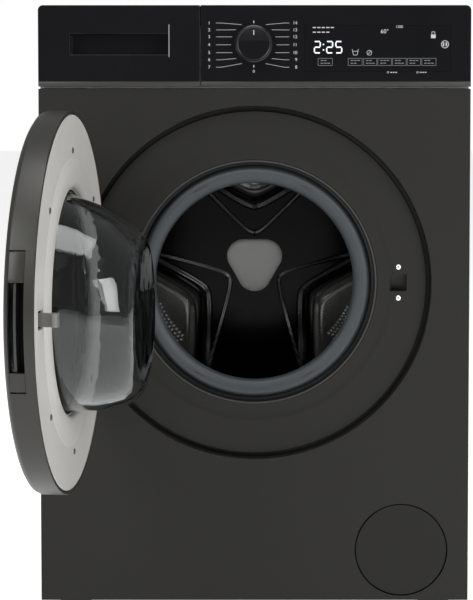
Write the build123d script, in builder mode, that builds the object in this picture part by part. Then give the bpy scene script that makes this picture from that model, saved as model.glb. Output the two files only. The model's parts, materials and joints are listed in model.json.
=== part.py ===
"""Front load washing machine, built as separate pieces in one frame.

+Z is up and the front faces -Y.  The origin is on the floor, at the middle of the space that the
machine takes up with its door open.  Depths are counted from the front face, positive inwards.
"""
from build123d import *
import math
import os

os.makedirs("parts", exist_ok=True)

# Cabinet
WIDTH = 597.0
HEIGHT = 845.0
CABINET_DEPTH = 520.0
SHEET = 1.0
PLAY = 0.3                     # gap between pieces that only sit near each other
RUN = 0.05                     # radial clearance of a running fit
FOOT_HEIGHT = 15.0
FRONT_TOP = 730.0
RETURN_DEPTH = 12.0
CONSOLE_BOTTOM = 733.0
CONSOLE_WALL = 2.5
CONSOLE_PROUD = 2.0
CONSOLE_DEPTH = 24.5
CONSOLE_CORNER = 7.0
SKIRT = 3.0
FLANGE = 15.0
TOP_THICKNESS = 26.0

# Door recess, porthole and door
PORT_Z = 460.0
PORT_RADIUS = 170.0
RECESS_ROOM = 5.0
RECESS_DEPTH = 14.0
STEP_RADIUS = 192.0
STEP_DEPTH = 4.0
GROOVE_DEPTH = 9.0
GROOVE_WIDTH = 5.0
DOOR_RADIUS = 240.0
RECESS_RADIUS = DOOR_RADIUS + RECESS_ROOM
DOOR_INNER = 6.0
DOOR_OUTER = -30.0
DOOR_OPEN = 95.0
HINGE_INSET = 14.0
HINGE_X = -(DOOR_RADIUS - HINGE_INSET)
HINGE_DEPTH = (DOOR_INNER + DOOR_OUTER) / 2
HINGE_PIN = 3.0
ARM_REACH = 35.0
ARM_WIDTH = 12.0
ARM_THICKNESS = 8.0
POCKET_ROOM = 3.5               # room round the hinge arms when the door is wide open
LINER_INSET = 5.0
LINER_RADIUS = DOOR_RADIUS - LINER_INSET
LEDGE_RADIUS = LINER_RADIUS - 9
LINER_HOLE = 141.0
BOWL_RADIUS = 137.0
BOWL_FRONT_RADIUS = 102.0
BOWL_DROP = 16.0
BOWL_REACH = 98.0
GLASS = 5.0
COVER_INSET = 28.0
COVER_RADIUS = DOOR_RADIUS - COVER_INSET
HOOK_INSET = 39.0
HOOK_X = DOOR_RADIUS - HOOK_INSET
SCREW_RING = 190.0
HOOK_PIN = 2.5
SLOT_WIDTH = 23.0
SLOT_HEIGHT = 24.0
GRIP_HALF = 82.0
GRIP_FRONT = -24.5
GRIP_BACK = -5.6
PADDLE_PIN = 2.0
CUP_INSET = 27.0
CUP_X = DOOR_RADIUS - CUP_INSET
PADDLE_X = CUP_X + 8

# Tub, drum and drive
TUB_RADIUS = 262.0
TUB_WALL = 2.5
TUB_FRONT = 62.0
TUB_SPLIT = 230.0
TUB_BACK = 405.0
TUB_NECK = 175.0
FLASH = 0.4                    # how far bosses stand inside the tub's bore
DRUM_GAP = 22.0
DRUM_RADIUS = TUB_RADIUS - DRUM_GAP
DRUM_SHEET = 1.2
DRUM_FRONT = 75.0
DRUM_BACK = 372.0
DRUM_MOUTH = 152.0
LIFTER_HEIGHT = 50.0
LIFTER_COUNT = 3
SHAFT_RADIUS = 12.5
BEARING_RADIUS = 27.0
PULLEY_RADIUS = 140.0
PULLEY_DEPTH = 440.0
PULLEY_WIDTH = 12.0
BELT = 2.5
MOTOR_RADIUS = 58.0
MOTOR_Z = 128.0
MOTOR_PULLEY = 11.0
MOTOR_SHAFT = 6.0
MOTOR_BACK = 415.0
SPRING_X = 215.0
SPRING_DEPTH = 300.0
SPRING_RADIUS = 15.0
DAMPER_DEPTH = 270.0
DAMPER_FOOT = (215.0, 50.0)
DAMPER_HEAD = (150.0, 228.0)
DAMPER_PIN = 5.0
DAMPER_TUBE = 13.0
DAMPER_ROD = 6.0
PIVOT_PLAY = 0.5

# Drawer, controls, pump and services
DRAWER_RIGHT = -75.0
SEAM = 1.0
GRIP_X = (-254.0, -120.0)
GRIP_Z = (777.0, 805.0)
GRIP_DEPTH = 18.0
HOUSING_DEPTH = 270.0
HOUSING_Z = (741.0, 807.0)
HOUSING_WALL = 2.0
KNOB_X = -1.0
KNOB_Z = 791.5
KNOB_RADIUS = 27.0
KNOB_PROUD = 16.0
KNOB_SHAFT = 4.0
DISPLAY_X = (69.0, 270.0)
DISPLAY_Z = (754.0, 817.0)
HATCH_X = 205.0
HATCH_Z = 86.0
HATCH_RADIUS = 65.0
HATCH_GAP = 1.5
HATCH_THICKNESS = 2.5
SURROUND = (67.5, 69.5)
SURROUND_BACK = 31.0
HATCH_ARM = (2.2, 3.8)
HATCH_ARM_HALF = 6.0
PUMP_RADIUS = 36.0
FILTER_RADIUS = 28.0
FOOT_X = 255.0
FOOT_DEPTHS = (50.0, 470.0)
STUD = 5.0
VALVE_X = -130.0
VALVE_Z = 780.0
VALVE_THREAD = 13.2
DRAIN_X = 262.0
DRAIN_RADIUS = 10.0
DRAIN_PIPE = 11.0
SPIGOT = 14.0
GLAND_X = 230.0
GLAND_Z = 700.0
SPOUT_X = 120.0
SPOUT_DEPTH = 120.0
SPOUT_RADIUS = 14.0
INFLOW_X = -187.0
INFLOW_DEPTH = 150.0
INFLOW_RADIUS = 18.0
FITTING_REACH = 15.0           # how far the water fittings stand out of the back

HALF = WIDTH / 2
SIDE = HALF - SHEET            # inner face of a side panel
REAR_REACH = CABINET_DEPTH + FITTING_REACH
swing = math.radians(DOOR_OPEN)
DOOR_REACH = -HINGE_DEPTH + (DOOR_RADIUS - HINGE_X) * math.sin(swing)
FRONT_Y = (DOOR_REACH - REAR_REACH) / 2

# FRONT has x to the right, y up and z towards the user; DOOR is the same frame turned open
FRONT = Plane(origin=(0, FRONT_Y, 0), x_dir=(1, 0, 0), z_dir=(0, -1, 0))
hinge_point = Vector(HINGE_X, FRONT_Y + HINGE_DEPTH, 0)
DOOR = Plane(
    origin=hinge_point + (Vector(0, FRONT_Y, 0) - hinge_point).rotate(Axis.Z, -DOOR_OPEN),
    x_dir=Vector(1, 0, 0).rotate(Axis.Z, -DOOR_OPEN),
    z_dir=Vector(0, -1, 0).rotate(Axis.Z, -DOOR_OPEN),
)


SCREW_HEAD = 4.0
SCREW_SHANK = 1.8
SERVICE_X = 150.0
SERVICE_Z = (270.0, 640.0)
COVER_LAP = 14.0
LOCK_SCREW = 21.7
LOCK_SCREWS = [(HOOK_X, PORT_Z + side * LOCK_SCREW) for side in (-1, 1)]
BRACKET_SCREWS = [(HINGE_X + 15, PORT_Z + side * 20) for side in (-1, 1)]
SERVICE_SCREWS = [
    (side * (SERVICE_X + COVER_LAP / 2), height)
    for side in (-1, 1)
    for height in (SERVICE_Z[0] + 40, sum(SERVICE_Z) / 2, SERVICE_Z[1] - 40)
]
EDGE_SCREWS = [
    (side * (HALF - 8), height)
    for side in (-1, 1)
    for height in (60, 300, 540, 780)
]


def at(x, depth, z):
    """A point by its x, its depth behind the front face and its height."""
    return (x, FRONT_Y + depth, z)


def block(x, depth, z, frame=FRONT, mode=Mode.ADD):
    """A box between two x, two depths and two heights of a frame."""
    with Locations(frame):
        with Locations((x[0], z[0], -depth[1])):
            Box(
                x[1] - x[0],
                z[1] - z[0],
                depth[1] - depth[0],
                align=(Align.MIN, Align.MIN, Align.MIN),
                mode=mode,
            )


def bar(start, end, radius, frame=FRONT, mode=Mode.ADD):
    """A round bar between two (x, depth, height) points of a frame."""
    first = Vector(start[0], start[2], -start[1])
    run = Vector(end[0], end[2], -end[1]) - first
    with Locations(frame):
        with Locations(Plane(origin=first, z_dir=run)):
            Cylinder(
                radius, run.length, align=(Align.CENTER, Align.CENTER, Align.MIN), mode=mode
            )


def round_hole(x, z, depth, radius, frame=FRONT):
    """A round hole from one depth to another."""
    bar((x, depth[0], z), (x, depth[1], z), radius, frame, Mode.SUBTRACT)


def screw(x, z, seat, length=8.0, frame=FRONT, inwards=1):
    """A pan-head screw with its head on the user's side of a seat, or on the far side."""
    bar((x, seat - inwards * 2.0, z), (x, seat, z), SCREW_HEAD, frame)
    bar((x, seat, z), (x, seat + inwards * length, z), SCREW_SHANK, frame)


def turned(outline, x=0.0, z=PORT_Z, frame=FRONT, mode=Mode.ADD):
    """A round piece about a front-to-back axis, from the (radius, depth) points of its section."""
    centre = frame.from_local_coords((x, z, 0))
    side = Plane(origin=centre, x_dir=frame.y_dir, z_dir=-frame.x_dir)
    with BuildSketch(side) as section:
        with BuildLine():
            Polyline(*outline, close=True)
        make_face()
    revolve(section.sketch, axis=Axis(centre, -frame.z_dir), mode=mode)


def save(piece, name):
    """Name a finished piece and write it to its file."""
    piece.part.label = name
    export_step(piece.part, f"parts/{name}.step")


# ---------------------------------------------------------------- cabinet shell
FLOOR = RECESS_DEPTH
STEP = RECESS_DEPTH + STEP_DEPTH
GROOVE = RECESS_DEPTH + GROOVE_DEPTH
LIP = STEP + 12.0
with BuildPart() as front_panel:
    block((-HALF, HALF), (0, SHEET), (FOOT_HEIGHT, FRONT_TOP))
    block((-HALF, -SIDE), (SHEET, RETURN_DEPTH), (FOOT_HEIGHT, FRONT_TOP))
    block((SIDE, HALF), (SHEET, RETURN_DEPTH), (FOOT_HEIGHT, FRONT_TOP))
    block((-SIDE, SIDE), (SHEET, RETURN_DEPTH), (FOOT_HEIGHT, FOOT_HEIGHT + SHEET))
    block((-SIDE, SIDE), (SHEET, RETURN_DEPTH), (FRONT_TOP - SHEET, FRONT_TOP))
    round_hole(0, PORT_Z, (-SHEET, RETURN_DEPTH), RECESS_RADIUS + 5)
    turned([
        (RECESS_RADIUS + 10, 0),
        (RECESS_RADIUS + 2, 0),
        (RECESS_RADIUS, 2),
        (RECESS_RADIUS, GROOVE),
        (RECESS_RADIUS - GROOVE_WIDTH, GROOVE),
        (RECESS_RADIUS - GROOVE_WIDTH - 1, FLOOR),
        (STEP_RADIUS + 2, FLOOR),
        (STEP_RADIUS - 2, STEP),
        (PORT_RADIUS + 2, STEP),
        (PORT_RADIUS, STEP + 2),
        (PORT_RADIUS, LIP),
        (PORT_RADIUS + SHEET, LIP),
        (PORT_RADIUS + SHEET, STEP + 2.4),
        (PORT_RADIUS + 2.4, STEP + SHEET),
        (STEP_RADIUS - 1.6, STEP + SHEET),
        (STEP_RADIUS + 2.4, FLOOR + SHEET),
        (RECESS_RADIUS - GROOVE_WIDTH - 1 - SHEET, FLOOR + SHEET),
        (RECESS_RADIUS - GROOVE_WIDTH - SHEET, GROOVE + SHEET),
        (RECESS_RADIUS + SHEET, GROOVE + SHEET),
        (RECESS_RADIUS + SHEET, 2.4),
        (RECESS_RADIUS + 2.4, SHEET),
        (RECESS_RADIUS + 10, SHEET),
    ])
    round_hole(HATCH_X, HATCH_Z, (-SHEET, RETURN_DEPTH), HATCH_RADIUS)
    block(
        (HOOK_X - SLOT_WIDTH / 2, HOOK_X + SLOT_WIDTH / 2),
        (FLOOR - 1, STEP + 2),
        (PORT_Z - SLOT_HEIGHT / 2, PORT_Z + SLOT_HEIGHT / 2),
        mode=Mode.SUBTRACT,
    )
    for place in LOCK_SCREWS + BRACKET_SCREWS:
        round_hole(*place, (FLOOR - 1, FLOOR + 2), SCREW_SHANK + RUN)
save(front_panel, "front_panel")

SIDE_FRONT = RETURN_DEPTH + PLAY
PANEL_BACK = CABINET_DEPTH - SHEET - PLAY
SIDE_TOP = HEIGHT - TOP_THICKNESS - PLAY


def side_panel(hand):
    """A side sheet with its top, bottom and rear flanges, notched for the console."""
    def span(outer, inner):
        return tuple(sorted((hand * outer, hand * inner)))
    with BuildPart() as panel:
        block(span(HALF, SIDE), (SIDE_FRONT, PANEL_BACK), (FOOT_HEIGHT, SIDE_TOP))
        block(
            span(HALF, HALF - FLANGE),
            (SIDE_FRONT, PANEL_BACK),
            (FOOT_HEIGHT, FOOT_HEIGHT + SHEET),
        )
        block(span(HALF, HALF - FLANGE), (SIDE_FRONT, PANEL_BACK), (SIDE_TOP - SHEET, SIDE_TOP))
        block(
            span(HALF, HALF - FLANGE), (PANEL_BACK - SHEET, PANEL_BACK), (FOOT_HEIGHT, SIDE_TOP)
        )
        block(
            span(HALF + 1, HALF - FLANGE - 1),
            (0, CONSOLE_DEPTH + PLAY),
            (FRONT_TOP + PLAY, SIDE_TOP + 1),
            mode=Mode.SUBTRACT,
        )
        foot_clear = (FOOT_DEPTHS[0] - 15, FOOT_DEPTHS[0] + 15)
        block(
            span(HALF - 2, HALF - FLANGE - 1),
            foot_clear,
            (FOOT_HEIGHT - 1, FOOT_HEIGHT + SHEET),
            mode=Mode.SUBTRACT,
        )
        for place in EDGE_SCREWS:
            round_hole(*place, (PANEL_BACK - 3, PANEL_BACK + 1), SCREW_SHANK + RUN)
    return panel


left_side_panel = side_panel(-1)
save(left_side_panel, "left_side_panel")
right_side_panel = side_panel(1)
save(right_side_panel, "right_side_panel")

PANEL_FACE = CABINET_DEPTH - SHEET
with BuildPart() as rear_panel:
    with BuildSketch(FRONT.offset(-PANEL_FACE)):
        with Locations((0, (FOOT_HEIGHT + SIDE_TOP) / 2)):
            Rectangle(2 * SIDE, SIDE_TOP - FOOT_HEIGHT - 2 * SHEET)
        with Locations((0, sum(SERVICE_Z) / 2)):
            RectangleRounded(2 * SERVICE_X, SERVICE_Z[1] - SERVICE_Z[0], 30, mode=Mode.SUBTRACT)
        with Locations((VALVE_X, VALVE_Z)):
            Circle(VALVE_THREAD + 1, mode=Mode.SUBTRACT)
        with Locations((DRAIN_X, HATCH_Z)):
            Circle(DRAIN_PIPE + PLAY, mode=Mode.SUBTRACT)
        with Locations((GLAND_X, GLAND_Z)):
            Circle(7 + PLAY, mode=Mode.SUBTRACT)
        with Locations(*SERVICE_SCREWS, *EDGE_SCREWS):
            Circle(SCREW_SHANK + RUN, mode=Mode.SUBTRACT)
    extrude(amount=-SHEET)
save(rear_panel, "rear_panel")

with BuildPart() as rear_service_cover:
    with BuildSketch(FRONT.offset(-CABINET_DEPTH)):
        with Locations((0, sum(SERVICE_Z) / 2)):
            RectangleRounded(
                2 * (SERVICE_X + COVER_LAP), SERVICE_Z[1] - SERVICE_Z[0] + 2 * COVER_LAP, 40
            )
        with Locations(*SERVICE_SCREWS):
            Circle(SCREW_SHANK + RUN, mode=Mode.SUBTRACT)
    extrude(amount=-SHEET)
save(rear_service_cover, "rear_service_cover")

with BuildPart() as rear_screws:
    for place in SERVICE_SCREWS:
        screw(*place, CABINET_DEPTH + SHEET, length=6, inwards=-1)
    for place in EDGE_SCREWS:
        screw(*place, CABINET_DEPTH, length=6, inwards=-1)
save(rear_screws, "rear_screws")

TOP_FRONT = CONSOLE_DEPTH + PLAY
with BuildPart() as top_cover:
    block((-HALF, HALF), (TOP_FRONT, CABINET_DEPTH), (HEIGHT - TOP_THICKNESS, HEIGHT))
    block(
        (-HALF + SKIRT, HALF - SKIRT),
        (TOP_FRONT + SKIRT, CABINET_DEPTH - SKIRT),
        (HEIGHT - TOP_THICKNESS, HEIGHT - SKIRT),
        mode=Mode.SUBTRACT,
    )
    fillet(top_cover.edges().filter_by(Axis.Z).group_by(Axis.Y)[-1], 6)
save(top_cover, "top_cover")

# ---------------------------------------------------------------- base frame and feet
BASE_Z = FOOT_HEIGHT + SHEET
BASE_SHEET = 2.5
BASE_X = SIDE - PLAY
BASE_DEPTHS = (RETURN_DEPTH + PLAY, PANEL_BACK - SHEET - PLAY)
EAR = 4.0
EAR_GAP = 14.5
with BuildPart() as base_frame:
    block((-BASE_X, BASE_X), BASE_DEPTHS, (BASE_Z, BASE_Z + 30))
    block(
        (-BASE_X + BASE_SHEET, BASE_X - BASE_SHEET),
        (BASE_DEPTHS[0] + BASE_SHEET, BASE_DEPTHS[1] - BASE_SHEET),
        (BASE_Z + BASE_SHEET, BASE_Z + 31),
        mode=Mode.SUBTRACT,
    )
    round_hole(HATCH_X, HATCH_Z, (0, SURROUND_BACK + 2), SURROUND[1] + 1)
    for hand in (-1, 1):
        for foot_depth in FOOT_DEPTHS:
            bar(
                (hand * FOOT_X, foot_depth, BASE_Z),
                (hand * FOOT_X, foot_depth, BASE_Z + 16),
                12,
            )
            bar(
                (hand * FOOT_X, foot_depth, BASE_Z - 1),
                (hand * FOOT_X, foot_depth, BASE_Z + 17),
                STUD + RUN,
                mode=Mode.SUBTRACT,
            )
        pin_x = hand * DAMPER_FOOT[0]
        for side in (-1, 1):
            ear_at = DAMPER_DEPTH + side * (EAR_GAP + EAR / 2)
            block(
                (pin_x - 12, pin_x + 12),
                (ear_at - EAR / 2, ear_at + EAR / 2),
                (BASE_Z + BASE_SHEET, DAMPER_FOOT[1] + 10),
            )
        bar(
            (pin_x, DAMPER_DEPTH - EAR_GAP - EAR, DAMPER_FOOT[1]),
            (pin_x, DAMPER_DEPTH + EAR_GAP + EAR, DAMPER_FOOT[1]),
            DAMPER_PIN,
        )
save(base_frame, "base_frame")

PAD = 22.0
PAD_HEIGHT = 9.0
for hand, hand_name in ((-1, "left"), (1, "right")):
    for foot_depth, end_name in zip(FOOT_DEPTHS, ("front", "rear")):
        with BuildPart() as foot:
            bar((hand * FOOT_X, foot_depth, 0), (hand * FOOT_X, foot_depth, PAD_HEIGHT), PAD)
            chamfer(foot.edges().filter_by(GeomType.CIRCLE).sort_by(Axis.Z)[-1], 3)
            with BuildSketch(Plane.XY.offset(PAD_HEIGHT)):
                with Locations((hand * FOOT_X, FRONT_Y + foot_depth)):
                    RegularPolygon(10, 6)
            extrude(amount=BASE_Z - PLAY - PAD_HEIGHT)
            bar(
                (hand * FOOT_X, foot_depth, PAD_HEIGHT),
                (hand * FOOT_X, foot_depth, BASE_Z + 24),
                STUD,
            )
        save(foot, f"{end_name}_{hand_name}_foot")

# ---------------------------------------------------------------- crossbars
BAR_DEPTH = CONSOLE_DEPTH + PLAY
BAR_SHEET = 1.5
WINDOW = 1.0
RAIL_Z = (HEIGHT - 48.0, SIDE_TOP - SHEET - PLAY)
with BuildPart() as upper_crossbars:
    block(
        (-SIDE + PLAY, SIDE - PLAY),
        (BAR_DEPTH, BAR_DEPTH + BAR_SHEET),
        (FRONT_TOP + 1, RAIL_Z[1]),
    )
    block(
        (-SIDE + PLAY, SIDE - PLAY), (BAR_DEPTH, BAR_DEPTH + 20), (RAIL_Z[1] - BAR_SHEET, RAIL_Z[1])
    )
    block(
        (-290 - WINDOW, DRAWER_RIGHT - 9 + WINDOW),
        (BAR_DEPTH - 1, BAR_DEPTH + BAR_SHEET + 1),
        (HOUSING_Z[0] - WINDOW, HOUSING_Z[1] - 3),
        mode=Mode.SUBTRACT,
    )
    block(
        (-SIDE + PLAY, SIDE - PLAY), (SPRING_DEPTH - 14, SPRING_DEPTH + 14), RAIL_Z
    )
    block(
        (-SIDE, SIDE),
        (SPRING_DEPTH - 14 + BAR_SHEET, SPRING_DEPTH + 14 - BAR_SHEET),
        (RAIL_Z[0] + BAR_SHEET, RAIL_Z[1] + 1),
        mode=Mode.SUBTRACT,
    )
save(upper_crossbars, "upper_crossbars")

# ---------------------------------------------------------------- console
with BuildPart() as console_fascia:
    with BuildSketch(FRONT.offset(CONSOLE_PROUD)):
        with Locations(((DRAWER_RIGHT + SEAM + HALF) / 2, (CONSOLE_BOTTOM + HEIGHT) / 2)):
            Rectangle(HALF - DRAWER_RIGHT - SEAM, HEIGHT - CONSOLE_BOTTOM)
        fillet(vertices().group_by(Axis.X)[-1].sort_by(Axis.Y)[-1], CONSOLE_CORNER)
    extrude(amount=-(CONSOLE_PROUD + CONSOLE_DEPTH))
    block(
        (DRAWER_RIGHT + SEAM + CONSOLE_WALL, HALF - CONSOLE_WALL),
        (CONSOLE_WALL - CONSOLE_PROUD, CONSOLE_DEPTH + 1),
        (CONSOLE_BOTTOM + CONSOLE_WALL, HEIGHT - CONSOLE_WALL),
        mode=Mode.SUBTRACT,
    )
    block(
        (DISPLAY_X[0] - PLAY, DISPLAY_X[1] + PLAY),
        (-CONSOLE_PROUD - 1, CONSOLE_WALL),
        (DISPLAY_Z[0] - PLAY, DISPLAY_Z[1] + PLAY),
        mode=Mode.SUBTRACT,
    )
    round_hole(KNOB_X, KNOB_Z, (-CONSOLE_PROUD - 1, CONSOLE_WALL), KNOB_SHAFT + RUN)
save(console_fascia, "console_fascia")

WINDOW_THICKNESS = 2.3
with BuildPart() as display_window:
    block(DISPLAY_X, (-CONSOLE_PROUD, WINDOW_THICKNESS - CONSOLE_PROUD), DISPLAY_Z)
save(display_window, "display_window")

BOARD_DEPTH = 14.0
MODULE_FACE = WINDOW_THICKNESS - CONSOLE_PROUD + 0.5
with BuildPart() as control_board:
    block((-40, 285), (BOARD_DEPTH, BOARD_DEPTH + 1.6), (748, 832))
    block(
        (DISPLAY_X[0] + 6, DISPLAY_X[1] - 6),
        (MODULE_FACE, BOARD_DEPTH),
        (DISPLAY_Z[0] + 5, DISPLAY_Z[1] - 5),
    )
    block((KNOB_X - 9, KNOB_X + 9), (7, BOARD_DEPTH), (KNOB_Z - 9, KNOB_Z + 9))
    for post_x, post_z in ((-32, 756), (-32, 824), (278, 756), (278, 824)):
        bar((post_x, CONSOLE_WALL - CONSOLE_PROUD, post_z), (post_x, BOARD_DEPTH, post_z), 3)
    round_hole(KNOB_X, KNOB_Z, (0, BOARD_DEPTH + 2), KNOB_SHAFT + RUN)
save(control_board, "control_board")

with BuildPart() as program_knob:
    turned(
        [
            (0, -KNOB_PROUD - 1),
            (KNOB_RADIUS - 4, -KNOB_PROUD),
            (KNOB_RADIUS - 2, -KNOB_PROUD + 1.5),
            (KNOB_RADIUS, -CONSOLE_PROUD - 2),
            (KNOB_RADIUS, -CONSOLE_PROUD - PLAY),
            (KNOB_SHAFT, -CONSOLE_PROUD - PLAY),
            (KNOB_SHAFT, BOARD_DEPTH - 1),
            (0, BOARD_DEPTH - 1),
        ],
        KNOB_X,
        KNOB_Z,
    )
save(program_knob, "program_knob")

# ---------------------------------------------------------------- detergent drawer
DRAWER_X = (-HALF, DRAWER_RIGHT)
with BuildPart() as drawer_front:
    with BuildSketch(FRONT.offset(CONSOLE_PROUD)):
        with Locations((sum(DRAWER_X) / 2, (CONSOLE_BOTTOM + HEIGHT) / 2)):
            Rectangle(DRAWER_X[1] - DRAWER_X[0], HEIGHT - CONSOLE_BOTTOM)
        fillet(vertices().group_by(Axis.X)[0].sort_by(Axis.Y)[-1], CONSOLE_CORNER)
    extrude(amount=-(CONSOLE_PROUD + CONSOLE_DEPTH - PLAY))
    block(
        (DRAWER_X[0] + CONSOLE_WALL, DRAWER_X[1] - CONSOLE_WALL),
        (CONSOLE_WALL - CONSOLE_PROUD, CONSOLE_DEPTH - 2),
        (CONSOLE_BOTTOM + CONSOLE_WALL, HEIGHT - CONSOLE_WALL),
        mode=Mode.SUBTRACT,
    )
    block(
        (GRIP_X[0] - 2, GRIP_X[1] + 2),
        (CONSOLE_WALL - CONSOLE_PROUD, GRIP_DEPTH + 2),
        (GRIP_Z[0] - 2, GRIP_Z[1] + 10),
    )
    block(GRIP_X, (-CONSOLE_PROUD - 1, GRIP_DEPTH), GRIP_Z, mode=Mode.SUBTRACT)
    block(
        GRIP_X,
        (CONSOLE_WALL - CONSOLE_PROUD + 2, GRIP_DEPTH),
        (GRIP_Z[1] - 1, GRIP_Z[1] + 8),
        mode=Mode.SUBTRACT,
    )
save(drawer_front, "drawer_front")

HOUSING_X = (-290.0, DRAWER_RIGHT - 9.0)
HOUSING_FRONT = BAR_DEPTH + BAR_SHEET + PLAY
TRAY_X = (HOUSING_X[0] + HOUSING_WALL + 1, HOUSING_X[1] - HOUSING_WALL - 1)
TRAY_Z = (HOUSING_Z[0] + HOUSING_WALL + PLAY, HOUSING_Z[1] - 14)
TRAY_BACK = HOUSING_DEPTH - HOUSING_WALL - 2
with BuildPart() as dispenser_housing:
    block(HOUSING_X, (HOUSING_FRONT, HOUSING_DEPTH), HOUSING_Z)
    block(
        (HOUSING_X[0] + HOUSING_WALL, HOUSING_X[1] - HOUSING_WALL),
        (HOUSING_FRONT - 1, HOUSING_DEPTH - HOUSING_WALL),
        (HOUSING_Z[0] + HOUSING_WALL, HOUSING_Z[1] - HOUSING_WALL),
        mode=Mode.SUBTRACT,
    )
    bar(
        (INFLOW_X, INFLOW_DEPTH, HOUSING_Z[0] - 16),
        (INFLOW_X, INFLOW_DEPTH, HOUSING_Z[0] + 1),
        INFLOW_RADIUS,
    )
    bar(
        (INFLOW_X, INFLOW_DEPTH, HOUSING_Z[0] - 17),
        (INFLOW_X, INFLOW_DEPTH, HOUSING_Z[0] + 3),
        INFLOW_RADIUS - 2,
        mode=Mode.SUBTRACT,
    )
save(dispenser_housing, "dispenser_housing")

TRAY_WALL = 2.0
BAYS = ((0.0, 0.42), (0.42, 0.72), (0.72, 1.0))
TRAY_SPAN = TRAY_X[1] - TRAY_X[0]
with BuildPart() as drawer_tray:
    block(TRAY_X, (CONSOLE_DEPTH, TRAY_BACK), TRAY_Z)
    for bay_start, bay_end in BAYS:
        block(
            (
                TRAY_X[0] + TRAY_SPAN * bay_start + TRAY_WALL / 2 + 1,
                TRAY_X[0] + TRAY_SPAN * bay_end - TRAY_WALL / 2 - 1,
            ),
            (CONSOLE_DEPTH + 4, TRAY_BACK - TRAY_WALL),
            (TRAY_Z[0] + TRAY_WALL, TRAY_Z[1] + 1),
            mode=Mode.SUBTRACT,
        )
save(drawer_tray, "drawer_tray")

# ---------------------------------------------------------------- water inlet and outlet
with BuildPart() as inlet_valve:
    block((VALVE_X - 24, VALVE_X + 24), (470, PANEL_FACE - PLAY), (VALVE_Z - 22, VALVE_Z + 16))
    bar((VALVE_X, PANEL_FACE - 1, VALVE_Z), (VALVE_X, REAR_REACH, VALVE_Z), VALVE_THREAD)
    bar(
        (VALVE_X, PANEL_FACE, VALVE_Z),
        (VALVE_X, REAR_REACH + 1, VALVE_Z),
        VALVE_THREAD - 3,
        mode=Mode.SUBTRACT,
    )
save(inlet_valve, "inlet_valve")

SPOUT_TOP = 672.0
GLAND_BORE = 4.0
with BuildPart() as mains_gland:
    bar((GLAND_X, PANEL_FACE - 8, GLAND_Z), (GLAND_X, REAR_REACH - 3, GLAND_Z), 7)
    bar(
        (GLAND_X, CABINET_DEPTH + PLAY, GLAND_Z), (GLAND_X, CABINET_DEPTH + 4, GLAND_Z), 11
    )
    bar((GLAND_X, PANEL_FACE - 8, GLAND_Z), (GLAND_X, PANEL_FACE - PLAY, GLAND_Z), 10)
    round_hole(GLAND_X, GLAND_Z, (PANEL_FACE - 9, REAR_REACH), GLAND_BORE)
save(mains_gland, "mains_gland")

# ---------------------------------------------------------------- door lock and hinge bracket
LOCK_FACE = STEP + SHEET + PLAY
with BuildPart() as door_lock:
    block((HOOK_X - 21, HOOK_X + 24), (LOCK_FACE, 50), (PORT_Z - 45, PORT_Z + 45))
    for screw_x, screw_z in LOCK_SCREWS:
        bar((screw_x, FLOOR + SHEET + PLAY, screw_z), (screw_x, LOCK_FACE, screw_z), 5)
        round_hole(screw_x, screw_z, (FLOOR, FLOOR + 14), SCREW_SHANK + RUN)
    block(
        (HOOK_X - 13, HOOK_X + 13),
        (FLOOR, 42),
        (PORT_Z - SLOT_HEIGHT / 2 - 0.5, PORT_Z + SLOT_HEIGHT / 2 + 0.5),
        mode=Mode.SUBTRACT,
    )
save(door_lock, "door_lock")

BRACKET_FACE = FLOOR - 2.5
BRACKET_X = (HINGE_X - 11, HINGE_X + 24)
with BuildPart() as hinge_bracket:
    block(BRACKET_X, (BRACKET_FACE, FLOOR - 0.02), (PORT_Z - 42, PORT_Z + 42))
    for side in (-1, 1):
        arm_z = PORT_Z + side * ARM_REACH
        block(
            (HINGE_X - ARM_WIDTH / 4, HINGE_X + ARM_WIDTH / 2),
            (HINGE_DEPTH, BRACKET_FACE + 0.5),
            (arm_z - ARM_THICKNESS / 2, arm_z + ARM_THICKNESS / 2),
        )
        bar(
            (HINGE_X, HINGE_DEPTH, arm_z - ARM_THICKNESS / 2),
            (HINGE_X, HINGE_DEPTH, arm_z + ARM_THICKNESS / 2),
            ARM_WIDTH / 2,
        )
    bar(
        (HINGE_X, HINGE_DEPTH, PORT_Z - ARM_REACH - 4),
        (HINGE_X, HINGE_DEPTH, PORT_Z + ARM_REACH + 4),
        HINGE_PIN,
    )
    for place in BRACKET_SCREWS:
        round_hole(*place, (0, FLOOR + 2), SCREW_SHANK + RUN)
save(hinge_bracket, "hinge_bracket")

with BuildPart() as front_screws:
    for place in LOCK_SCREWS:
        screw(*place, FLOOR, length=12)
    for place in BRACKET_SCREWS:
        screw(*place, BRACKET_FACE, length=9)
save(front_screws, "front_screws")

# ---------------------------------------------------------------- door
RIM_BEVEL = 8.0
RIM_WALL = 3.4
LEDGE = 2.8


def hinge_pocket():
    """Room for the hinge arms, open to the inner face and to the rim."""
    block(
        (-DOOR_RADIUS - 2, HINGE_X + 12),
        (HINGE_DEPTH - ARM_WIDTH / 2 - POCKET_ROOM, DOOR_INNER + 1),
        (PORT_Z - ARM_REACH - 7, PORT_Z + ARM_REACH + 7),
        frame=DOOR,
        mode=Mode.SUBTRACT,
    )


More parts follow.
